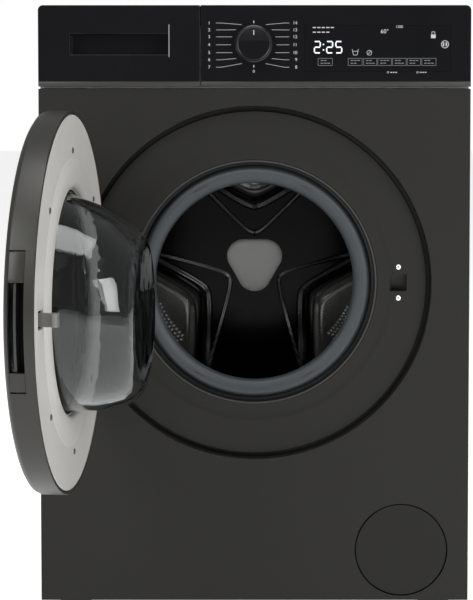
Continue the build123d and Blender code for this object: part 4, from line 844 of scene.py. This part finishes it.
class WASHER_OT_console(bpy.types.Operator):
    """Makes the console's strip, its printed scale, its display and its keys"""
    bl_idname = "washer.console"
    bl_label = "Console"

    def execute(self, context):
        low, high = (Vector(corner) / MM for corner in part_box("console_fascia"))
        for name, body, span in (
            ("console_strip", "cabinet", (DRAWER_SEAM + 1.2, high.x - 0.4)),
            ("drawer_strip", "drawer", (-high.x + 0.4, DRAWER_SEAM - 0.2)),
        ):
            strip = Shape().slab(span, (FACE - 0.5, FACE + 1), (low.z + 0.3, low.z + 7))
            dress(strip.finished(name, 0.4), "trim_grey", body, "black_gloss")
        self.scale()
        self.digits()
        self.display_marks()
        self.keys()
        return {"FINISHED"}

    def scale(self):
        """Numbers down both sides of the knob, with a fine line from each to the knob."""
        marks = Shape()
        for side, outer, align in ((-1, -64.0, "LEFT"), (1, 59.0, "RIGHT")):
            for row, height in enumerate(LABEL_ROWS):
                number = str(row + 1 if side < 0 else 14 - row)
                marks.words(number, outer, height, 6.2, PRINT, align)
                reach, level = around(31.5, 58 - row * 19.4, KNOB_Z)
                start = (outer - side * 11.0, height)
                elbow = (outer - side * 18.0, height)
                near = KNOB_X + side * reach
                bent = row not in (2, 3, 4)
                path = [start, elbow, (near, level)] if bent else [start, (near, height)]
                marks.chain(path, 0.45, PRINT)
        for reach in ((28.8, 32), (-28.8, -32)):
            marks.line(*((KNOB_X, KNOB_Z + z) for z in reach), 1.1, PRINT)
        marks.words("0", KNOB_X, KNOB_Z - 37.5, 5.6, PRINT)
        # the printed scale glows: painted light
        dress(marks.finished("scale_print"), "print_white_painted_glow", "cabinet", "black_gloss")
        # the printed line on the drawer glows: painted light
        line = Shape().line((DRAWER_SEAM - 42.8, 818.5), (DRAWER_SEAM - 42.8, 773.7), 0.7, PRINT)
        dress(line.finished("drawer_line"), "print_white_painted_glow", "drawer", "black_gloss")

    def digits(self):
        """The remaining time in seven segment figures."""
        lamp = Shape()
        for text, left in (("2", 82.6), ("2", 99.6), ("5", 112.2)):
            for part in DIGIT[text]:
                (x0, z0), (x1, z1) = SEGMENTS[part]
                start = (left + x0 * 8.0, 779.4 + z0 * 15.6)
                lamp.line(start, (left + x1 * 8.0, 779.4 + z1 * 15.6), 1.7, PRINT)
        for height in (783.5, 791.0):
            lamp.slab((94.2, 96.0), PRINT, (height - 0.9, height + 0.9))
        dress(lamp.finished("time_figures"), "digit_white", "cabinet", "display_glass")

    def display_marks(self):
        """Small figures and signs round the display."""
        marks = Shape()
        marks.words("60\u00b0", 179.3, 808.7, 8.0, PRINT)
        marks.words("1200", 199.5, 815.2, 5.0, PRINT)
        for row, height in enumerate((814.2, 807.8)):
            for k in range(5 - row):
                marks.slab((80.2 + k * 6.2, 84.6 + k * 6.2), PRINT, (height - 0.7, height + 0.7))
        # two upright bars in a ring
        marks.hoop(262.5, 791.2, 5.4, 4.5, PRINT, 32)
        for left in (259.4, 263.4):
            marks.slab((left, left + 2.0), PRINT, (788.6, 793.8))
        # a basin with its water line
        marks.chain([(134.6, 784.5), (136.4, 776.5), (141.4, 776.5), (143.2, 784.5)], 0.6, PRINT)
        marks.line((135.6, 781.6), (142.2, 781.6), 0.6, PRINT)
        # a crossed ring
        marks.hoop(158.3, 779.6, 3.6, 3.0, PRINT, 24)
        marks.line((155.6, 776.8), (161.0, 782.4), 0.6, PRINT)
        # a padlock
        marks.slab((243.2, 249.6), PRINT, (799.6, 804.6))
        marks.chain([(244.4, 804.6), (244.4, 808.4), (248.4, 808.4), (248.4, 804.6)], 0.7, PRINT)
        # two rings with short bars
        for x in (189.0, 229.6):
            marks.hoop(x - 5, 752.6, 1.4, 0.9, PRINT, 16)
            for k in range(3):
                marks.slab((x - 1.6 + k * 3.4, x + 0.8 + k * 3.4), PRINT, (752.0, 753.2))
        # the printed signs glow: painted light
        dress(marks.finished("display_print"), "print_white_painted_glow", "cabinet", "display_glass")

    def keys(self):
        """Outlined touch fields with a short mark inside each."""
        fields = Shape()
        spans = ((87.7, 107.3), (129.2, 148.4), (150.5, 168.7), (170.0, 188.8), (190.3, 209.1),
                 (210.5, 228.9), (230.6, 250.2))
        for k, (left, right) in enumerate(spans):
            corners = [(left, 771.9), (right, 771.9), (right, 762.1), (left, 762.1)]
            fields.chain(corners + corners[:1], 0.5, PRINT)
            quarter = (right - left) / 4
            for row, height in enumerate((769.0, 765.2)):
                for part in range(2 + (k + row) % 2):
                    start = left + quarter * (0.7 + part * 0.95)
                    span = (start, start + quarter * 0.75)
                    fields.slab(span, PRINT, (height - 0.55, height + 0.55))
        # the printed fields glow dimly: painted light
        dress(fields.finished("key_fields"), "print_dim_painted_glow", "cabinet", "display_glass")


class WASHER_OT_knob(bpy.types.Operator):
    """Makes the programme knob with its ribs, its bright rim and its pointer"""
    bl_idname = "washer.knob"
    bl_label = "Knob"

    def execute(self, context):
        front, back = depths("program_knob")
        radius = extent("program_knob").x / 2 / MM
        body = Shape().turned(
            [
                (0, front + 1.0), (radius - 8, front + 0.9), (radius - 6.5, front + 0.5),
                (radius - 3.4, front + 0.5), (radius - 1.6, front + 1.6), (radius - 0.9, front + 4),
                (radius - 0.7, FACE - 1.2), (radius - 1.2, FACE - 0.3), (0, FACE - 0.3),
            ],
            KNOB_X, KNOB_Z, 96,
        )
        body.turned([(0, FACE - 0.4), (4, FACE - 0.4), (4, back), (0, back)], KNOB_X, KNOB_Z, 32)
        dress(body.finished("knob_body"), "black_gloss", "knob", SLOT_OF["program_knob"], "program_knob")
        rim = Shape().turned(
            [
                (radius - 5.4, front + 0.5), (radius - 4.6, front + 0.1), (radius - 3.2, front + 0.1),
                (radius - 1.7, front + 1.2), (radius - 1.7, front + 1.9), (radius - 5.4, front + 0.9),
            ],
            KNOB_X, KNOB_Z, 96,
        )
        dress(rim.finished("knob_rim"), "rim_metal", "knob", "black_gloss")
        pointer = Shape().slab(
            (KNOB_X - 0.6, KNOB_X + 0.6), (front + 0.7, front + 1.4), (KNOB_Z + 12, KNOB_Z + 18.6)
        )
        # the printed pointer glows: painted light
        dress(pointer.finished("knob_pointer"), "print_white_painted_glow", "knob", "black_gloss")
        rib = bare_seed("rib", [(0, front + 4.4), (0.42, front + 4.6), (0.42, -3.0), (0, -2.8)], 6)
        points = []
        ribs = context.scene.washer_sizes.knob_ribs
        for k in range(ribs):
            x, z = around(radius - 0.8, 360 * k / ribs, KNOB_Z)
            points.append((((KNOB_X + x) * MM, FRONT_Y, z * MM), (0.0, 0.0, 0.0)))
        dress(repeated("knob_ribs", rib, points, "black_gloss"), "black_gloss", "knob", "black_gloss")
        return {"FINISHED"}


class WASHER_OT_gasket(bpy.types.Operator):
    """Makes the folded door gasket and its drain slots, the slots as black bars of painted shade"""
    bl_idname = "washer.gasket"
    bl_label = "Gasket"

    def execute(self, context):
        fold = [
            (168.5, 18.4), (169.2, 30), (167.6, 33.5), (164.6, 34.2), (162.2, 31.5), (160.6, 27),
            (158.9, 23.4), (156.6, 20.9), (154.6, 20.4), (148, 22.0), (142.4, 24.6), (139.8, 27.4),
            (138.6, 31), (138.8, 40), (142.4, 62), (145, 65.6), (147.6, 66.6), (149.4, 65),
            (150.6, 56), (152, 45), (154.6, 40.8), (158, 39.6), (161.6, 40.2), (164, 43.4),
            (165.4, 51.4), (167.4, 53), (169, 50.6), (170.2, 43), (172.5, 41.7), (176.4, 41.7),
            (177.2, 43), (177.2, 55.5),
        ]
        wall = context.scene.washer_sizes.gasket_wall / MM
        inner = []
        for k, (radius, depth) in enumerate(fold):
            before = fold[max(k - 1, 0)]
            after = fold[min(k + 1, len(fold) - 1)]
            run = (after[0] - before[0], after[1] - before[1])
            size = math.hypot(*run) or 1.0
            inner.append((radius + run[1] / size * wall, depth - run[0] / size * wall))
        gasket = Shape().turned(fold + inner[::-1], steps=180)
        piece = gasket.finished("gasket_fold", angle=60)
        piece.data.materials.append(finish("gasket_rubber"))
        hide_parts("door_gasket")
        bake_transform(piece)
        # painted shade: the drain slots are black bars set in the gasket
        slots = Shape()
        for angle in (61, 120, 240, 300):
            x, z = around(151.0, angle)
            turn = math.radians(angle + 90)
            reach = Vector((math.cos(turn), math.sin(turn))) * 11
            slots.line((x - reach.x, z - reach.y), (x + reach.x, z + reach.y), 2.8, (20.9, 24.0))
        dress(slots.finished("gasket_slots", 0.5), "black_plastic", "cabinet", SLOT_OF["door_gasket"])
        return {"FINISHED"}


THIRDS = (90, 210, 330)      # angles of the lifters and of the pillows between them
# each step of the drum's back: where it starts, its spread, its width, its change of depth, its form
STEPS_OF_BACK = (
    (44, 44, 4.0, -3.0, "crease"), (84, 58, 7.0, -4.0, "crease"), (97, 60, 4.0, -2.0, "step"),
    (108, 58, 18.0, 7.0, "pillow"),
)


class WASHER_OT_drum(bpy.types.Operator):
    """Makes the drum's embossed back, holes, lifters and hub cap"""
    bl_idname = "washer.drum"
    bl_label = "Drum"

    def execute(self, context):
        front, back = depths("drum_shell")
        front, back = front + 8, back - 1.3
        radius = extent("drum_shell").z / 2 / MM
        sizes = context.scene.washer_sizes
        self.back_wall(radius - 6, back)
        self.holes(radius - 1.25, front, back, sizes.hole_rows, sizes.holes_around)
        self.dimples(back)
        self.lifters(radius - 1.6, sizes.lifter_height / MM)
        self.hub_cap(back)
        return {"FINISHED"}

    def relief(self, radius, angle):
        """How far the back stands forward at a point, in millimetres, and how much painted highlight it carries
        there.
        """
        rise, pale = 9.0, 0.0
        for middle_angle in THIRDS:
            turn = angle - math.radians(middle_angle)
            along = radius * math.cos(turn)
            across = math.hypot(radius * math.sin(turn), 12.0) - 12.0
            for start, spread, width, change, form in STEPS_OF_BACK:
                slant = math.radians(spread)
                inside = (along - start) * math.sin(slant) - across * math.cos(slant)
                share = eased(inside / width)
                rise += change * share
                # painted highlight: the pillows and thin lines along the creases are made paler
                if form == "pillow":
                    pale += 0.3 * eased(inside / 10.0)
                if form == "crease":
                    pale += 1.2 * share * (1 - share)
        fade = eased((212 - radius) / 16)
        return rise * fade, pale * fade

    def back_wall(self, radius, back):
        """The pressed back as one skin over a flat rear face."""
        steps = 360
        rings = [2, 14, 26, 36] + [40 + 2 * k for k in range(86)] + [214, 222, radius]
        highlight_shares = []
        rows = []
        shape = Shape()
        for ring in rings:
            row = []
            for k in range(steps):
                angle = 2 * math.pi * k / steps
                x, z = around(ring, math.degrees(angle))
                rise, pale = self.relief(ring, angle)
                row.append(shape.spot(x, back - 0.2 - rise, z))
                highlight_shares.append((row[-1], pale))
            rows.append(row)
        rims = [
            [Vector((p.x, FRONT_Y + (back - 0.05) * MM, p.z)) for p in row]
            for row in (rows[0], rows[-1])
        ]
        shape.skin([rims[0], *rows, rims[1]], closed=False)
        for rim in rims:
            shape.bm.faces.new([shape.bm.verts.new(p) for p in rim])
        piece = shape.finished("drum_back", angle=50)
        # painted highlight: each point's pale share goes into the attribute that the shader reads
        highlight_at = {tuple(round(c, 5) for c in place): pale for place, pale in highlight_shares}
        mark = piece.data.attributes.new("pale", "FLOAT", "POINT")
        places = [tuple(round(c, 5) for c in vertex.co) for vertex in piece.data.vertices]
        mark.data.foreach_set("value", [highlight_at.get(place, 0.0) for place in places])
        dress(piece, "drum_back_painted_light", "drum", SLOT_OF["drum_shell"])

    def holes(self, radius, front, back, rows, count):
        """Rows of small holes round the drum, clear of the lifters, each a near black disc of painted shade."""
        seed = bare_seed("hole", [(0, 0.0), (1.9, 0.0), (2.2, 0.25), (2.2, 0.5), (0, 0.5)], 10)
        points = []
        for row in range(rows):
            depth = front + 12 + (back - front - 30) * row / (rows - 1)
            for k in range(count):
                angle = 360 * (k + 0.5 * (row % 2)) / count
                if any(abs((angle - third + 180) % 360 - 180) < 8.5 for third in THIRDS):
                    continue
                x, z = around(radius, angle)
                outward = Vector((x, 0, z - PORT.z / MM)).to_track_quat("Y", "X").to_euler()
                points.append(((x * MM, FRONT_Y + depth * MM, z * MM), outward))
        piece = repeated("drum_holes", seed, points, "hole_painted_shade")
        dress(piece, "hole_painted_shade", "drum", SLOT_OF["drum_shell"])

    def dimples(self, back):
        """Small pressed dimples beside the lower pillows of the back."""
        seed = bare_seed(
            "dimple", [(0, -1.5), (1.2, -1.2), (2.3, -0.4), (2.7, 0.4), (2.7, 1.0), (0, 1.0)], 12
        )
        points = []
        for row in range(3):
            reach = 164 + row * 6.0
            for k in range(10):
                for low, high in ((204, 228), (316, 336)):
                    angle = low + (high - low) * (k + 0.5 * (row % 2)) / 10
                    x, z = around(reach, angle)
                    depth = back - 0.2 - self.relief(reach, math.radians(angle))[0]
                    points.append(((x * MM, FRONT_Y + depth * MM, z * MM), (0.0, 0.0, 0.0)))
        piece = repeated("back_dimples", seed, points, "drum_steel")
        dress(piece, "drum_steel", "drum", SLOT_OF["drum_shell"])

    def lifters(self, radius, tall):
        """Three waved fins with rounded ends, seated on the drum's wall."""
        start, end = depths("drum_lifters")
        run = end - start
        shape = Shape()
        rows, columns = 28, 25
        for angle in THIRDS:
            turn = math.radians(angle)
            out = Vector((math.cos(turn), math.sin(turn)))
            side = Vector((-math.sin(turn), math.cos(turn)))
            loops = []
            for i in range(rows):
                t = i / (rows - 1)
                ends = min(1.0, (1 - abs(2 * t - 1)) * 5.5)
                ends = math.sin(ends * math.pi / 2) ** 0.7
                wave = 1 + 0.06 * math.sin(t * math.pi * 5)
                top, bottom = [], []
                for j in range(columns):
                    w = 2 * j / (columns - 1) - 1
                    across = w * 31.5 * (0.82 + 0.18 * ends)
                    wall = math.sqrt(radius ** 2 - across ** 2)
                    height = tall * (1 - abs(w) ** 2.1) ** 1.25 * ends * wave / 1.06
                    for target, reach in ((top, wall - 0.4 - height), (bottom, wall)):
                        point = out * reach + side * across
                        target.append(shape.spot(point.x, start + run * t, PORT.z / MM + point.y))
                loops.append(top + bottom[::-1])
            shape.skin(loops, closed=False)
        bmesh.ops.holes_fill(shape.bm, edges=[e for e in shape.bm.edges if e.is_boundary])
        piece = shape.finished("lifter_fins", angle=50)
        dress(piece, "lifter_plastic", "drum", SLOT_OF["drum_lifters"], "drum_lifters")

    def hub_cap(self, back):
        """The rounded three-cornered cap over the hub."""
        front = depths("drum_hub_cap")[0]
        centre = PORT.z / MM
        outline = []
        for corner in range(3):
            middle_angle = -90 + 120 * corner
            cx, cz = around(20.0, middle_angle)
            for k in range(-12, 13):
                angle = math.radians(middle_angle + k * 5)
                outline.append((cx, cz, math.cos(angle), math.sin(angle)))
        layers = [
            (0.0, front), (10.0, front + 0.2), (19.0, front + 0.8), (23.0, front + 1.6),
            (25.4, front + 3.4), (26.4, front + 6.0), (27.0, back - 0.5),
        ]
        shape = Shape()
        rows = []
        for reach, depth in layers:
            share = min(1.0, reach / 10.0)
            rows.append([
                shape.spot(cx * share + ux * reach, depth, centre + (cz - centre) * share + uz * reach)
                for cx, cz, ux, uz in outline
            ])
        rows.append([shape.spot(0, back - 0.5, centre) for point in outline])
        shape.skin(rows, closed=False)
        dress(
            shape.finished("hub_cap_face", angle=40), "cap_plastic", "drum",
            SLOT_OF["drum_hub_cap"], "drum_hub_cap",
        )


class WASHER_OT_door(bpy.types.Operator):
    """Makes the pressed glass bowl, the liner's raised band and the grip's end covers"""
    bl_idname = "washer.door"
    bl_label = "Door glass"

    def execute(self, context):
        self.bowl(context.scene.washer_sizes.glass_wall / MM)
        self.collar()
        self.grip_caps()
        return {"FINISHED"}

    def bowl(self, wall):
        """A bowl whose lower side hangs, from (radius, depth, drop) rings of its outside."""
        outside = [
            (137.0, 0.0, 0), (136.2, 4, 1), (132.5, 22, 4), (127.5, 44, 8), (121.0, 62, 11),
            (113.5, 78, 14), (107.0, 87, 15.6), (101.5, 92.6, 16), (95.0, 96.3, 16), (86.0, 97.8, 16),
            (60.0, 97.9, 16), (0.0, 97.9, 16),
        ]
        inside = [
            (max(0.0, radius - wall), min(depth - 4.5 + max(0.0, 20 - depth) * 0.06, 93.0), drop)
            for radius, depth, drop in reversed(outside)
        ]
        flange = [(150.0, -3.4), (158.0, -3.4), (158.0, 0.3)]
        piece = Shape(DOOR_TURN).turned([*outside, *inside, *flange], steps=128)
        dress(
            piece.finished("bowl_glass", angle=50), "clear_glass", "door", SLOT_OF["door_glass"],
            "door_glass",
        )

    def collar(self):
        """The soft raised band of the liner round the glass."""
        band = Shape(DOOR_TURN).turned(
            [
                (182, 5.5), (181, 6.05), (176, 6.5), (170, 7.8), (165, 8.6), (158, 8.9), (150, 8.7),
                (146, 7.9), (143.4, 6.2), (142.4, 4.0), (142.4, 3.0), (146, 3.0), (150, 5.5),
            ],
            steps=144,
        )
        piece = band.finished("liner_band", angle=60)
        dress(piece, "liner_plastic", "door", SLOT_OF["door_inner_liner"])

    def grip_caps(self):
        """End covers of the finger grip, flush with the rim."""
        caps = Shape(DOOR_TURN)
        outer = extent("door_frame").z / 2 / MM - 0.5
        for first, last in ((11.0, 19.6), (-19.6, -14.0)):
            outline = []
            for radius, order in ((outer, 1), (outer - 2.6, -1)):
                angles = [first + (last - first) * k / 8 for k in range(9)][::order]
                outline += [around(radius, angle) for angle in angles]
            caps.prism(outline, (-24.2, -5.9))
        dress(caps.finished("grip_caps", 0.5), "rim_plastic", "door", SLOT_OF["door_frame"])


class WASHER_OT_springs(bpy.types.Operator):
    """Winds the two suspension springs"""
    bl_idname = "washer.springs"
    bl_label = "Suspension springs"

    def execute(self, context):
        low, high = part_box("suspension_springs")
        tree, ids = tree_with(
            "spring_tree",
            (("Turns", "Float"), ("Radius", "Float"), ("Length", "Float"), ("Wire", "Float")),
        )
        inputs = tree_node(tree, "NodeGroupInput").outputs
        spiral = tree_node(
            tree, "GeometryNodeCurveSpiral", {},
            {
                "Resolution": 24, "Rotations": inputs["Turns"], "Height": inputs["Length"],
                "Start Radius": inputs["Radius"], "End Radius": inputs["Radius"],
            },
        )
        ring = tree_node(
            tree, "GeometryNodeCurvePrimitiveCircle", {},
            {"Resolution": 8, "Radius": inputs["Wire"]},
        )
        wire = tree_node(
            tree, "GeometryNodeCurveToMesh", {},
            {"Curve": spiral.outputs[0], "Profile Curve": ring.outputs[0], "Fill Caps": True},
        )
        place = tree_node(
            tree, "GeometryNodeInstanceOnPoints", {},
            {"Points": inputs["Geometry"], "Instance": wire.outputs[0]},
        )
        close_tree(tree, place.outputs[0], inputs["Material"])
        sizes = context.scene.washer_sizes
        centre = middle("suspension_springs")
        reach = high[0] - 0.0152
        points = [((side * reach, centre.y, low[2] + 0.0015), (0, 0, 0)) for side in (-1, 1)]
        values = {
            "Turns": sizes.spring_turns, "Radius": 0.0128, "Length": high[2] - low[2] - 0.003,
            "Wire": sizes.spring_wire, "Material": finish("spring_steel"),
        }
        piece = grown("wound_springs", tree, ids, values, points)
        smooth(piece.data)
        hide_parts("suspension_springs")
        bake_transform(piece)
        return {"FINISHED"}


def loose_parts(bm):
    """The points of each separate solid of a mesh, in the mesh's own order."""
    seen = set()
    for first in bm.verts:
        if first in seen:
            continue
        seen.add(first)
        stack, points = [first], []
        while stack:
            vertex = stack.pop()
            points.append(vertex.co.copy())
            for edge in vertex.link_edges:
                other = edge.other_vert(vertex)
                if other not in seen:
                    seen.add(other)
                    stack.append(other)
        yield points


class WASHER_OT_screws(bpy.types.Operator):
    """Sets every screw head with its cross recess"""
    bl_idname = "washer.screws"
    bl_label = "Screws"

    def execute(self, context):
        for node in ("front_screws", "door_screws", "rear_screws"):
            self.set_heads(node)
        return {"FINISHED"}

    def screw_at(self, solid, axis):
        """Where a screw's head seats, which way it faces and how long the screw is."""
        along = [point.dot(axis) for point in solid]
        radii = {}
        for end in (min(along), max(along)):
            ring = [point for point, reach in zip(solid, along) if abs(reach - end) < 2e-4]
            centre = sum(ring, Vector()) / len(ring)
            radii[end] = max((point - centre).length for point in ring)
        tip, head = sorted(radii, key=radii.get)
        centre = sum(solid, Vector()) / len(solid)
        seat = centre + axis * (head - centre.dot(axis))
        inward = -axis if head > tip else axis
        return seat, inward.to_track_quat("Y", "Z").to_euler(), abs(head - tip) / MM

    def set_heads(self, node):
        """Finds each screw of a frame piece and sets a detailed one over it."""
        axis = Vector((0, 1, 0))
        coat = "screw_steel"
        if node == "door_screws":
            axis = (DOOR_TURN.to_3x3() @ axis).normalized()
            coat = "screw_dark"
        bm = joined_copy(node)
        screws = [self.screw_at(solid, axis) for solid in loose_parts(bm)]
        bm.free()
        length = max(size for seat, turn, size in screws)
        seed = bare_seed(
            "screw",
            [(0, 0.35), (1.2, 0.3), (2.6, 0.55), (3.6, 1.1), (3.95, 1.7), (3.95, 2.1), (1.75, 2.2),
             (1.75, length - 2), (0.4, length), (0, length)],
            16, cross=2.0,
        )
        points = [(seat, turn) for seat, turn, size in screws]
        piece = repeated(f"{node}_heads", seed, points, coat)
        dress(piece, coat, BODY_OF[node], SLOT_OF[node], node)


class WASHER_PT_panel(bpy.types.Panel):
    """The build steps, with the sizes and colours that they read"""
    bl_label = "Washer"
    bl_idname = "WASHER_PT_panel"
    bl_space_type = "VIEW_3D"
    bl_region_type = "UI"
    bl_category = "Washer"

    def draw(self, context):
        for step in STEPS:
            self.layout.operator(step.bl_idname)
        for name, group in GROUPS.items():
            box = self.layout.box()
            box.label(text=group.__doc__)
            for key in group.__annotations__:
                box.prop(getattr(context.scene, name), key)


STEPS = [
    WASHER_OT_stage, WASHER_OT_cabinet, WASHER_OT_console, WASHER_OT_knob, WASHER_OT_gasket,
    WASHER_OT_drum, WASHER_OT_door, WASHER_OT_springs, WASHER_OT_screws,
]
GROUPS = {
    "washer_stage": WasherStage, "washer_sizes": WasherSizes, "washer_colours": WasherColours,
}
CLASSES = [*GROUPS.values(), *STEPS, WASHER_PT_panel]


def register():
    for entry in CLASSES:
        bpy.utils.register_class(entry)
    for name, group in GROUPS.items():
        setattr(bpy.types.Scene, name, bpy.props.PointerProperty(type=group))


def unregister():
    for name in GROUPS:
        delattr(bpy.types.Scene, name)
    for entry in reversed(CLASSES):
        bpy.utils.unregister_class(entry)


def main():
    register()
    for step in STEPS:
        group, action = step.bl_idname.split(".")
        getattr(getattr(bpy.ops, group), action)()


if __name__ == "__main__":
    main()
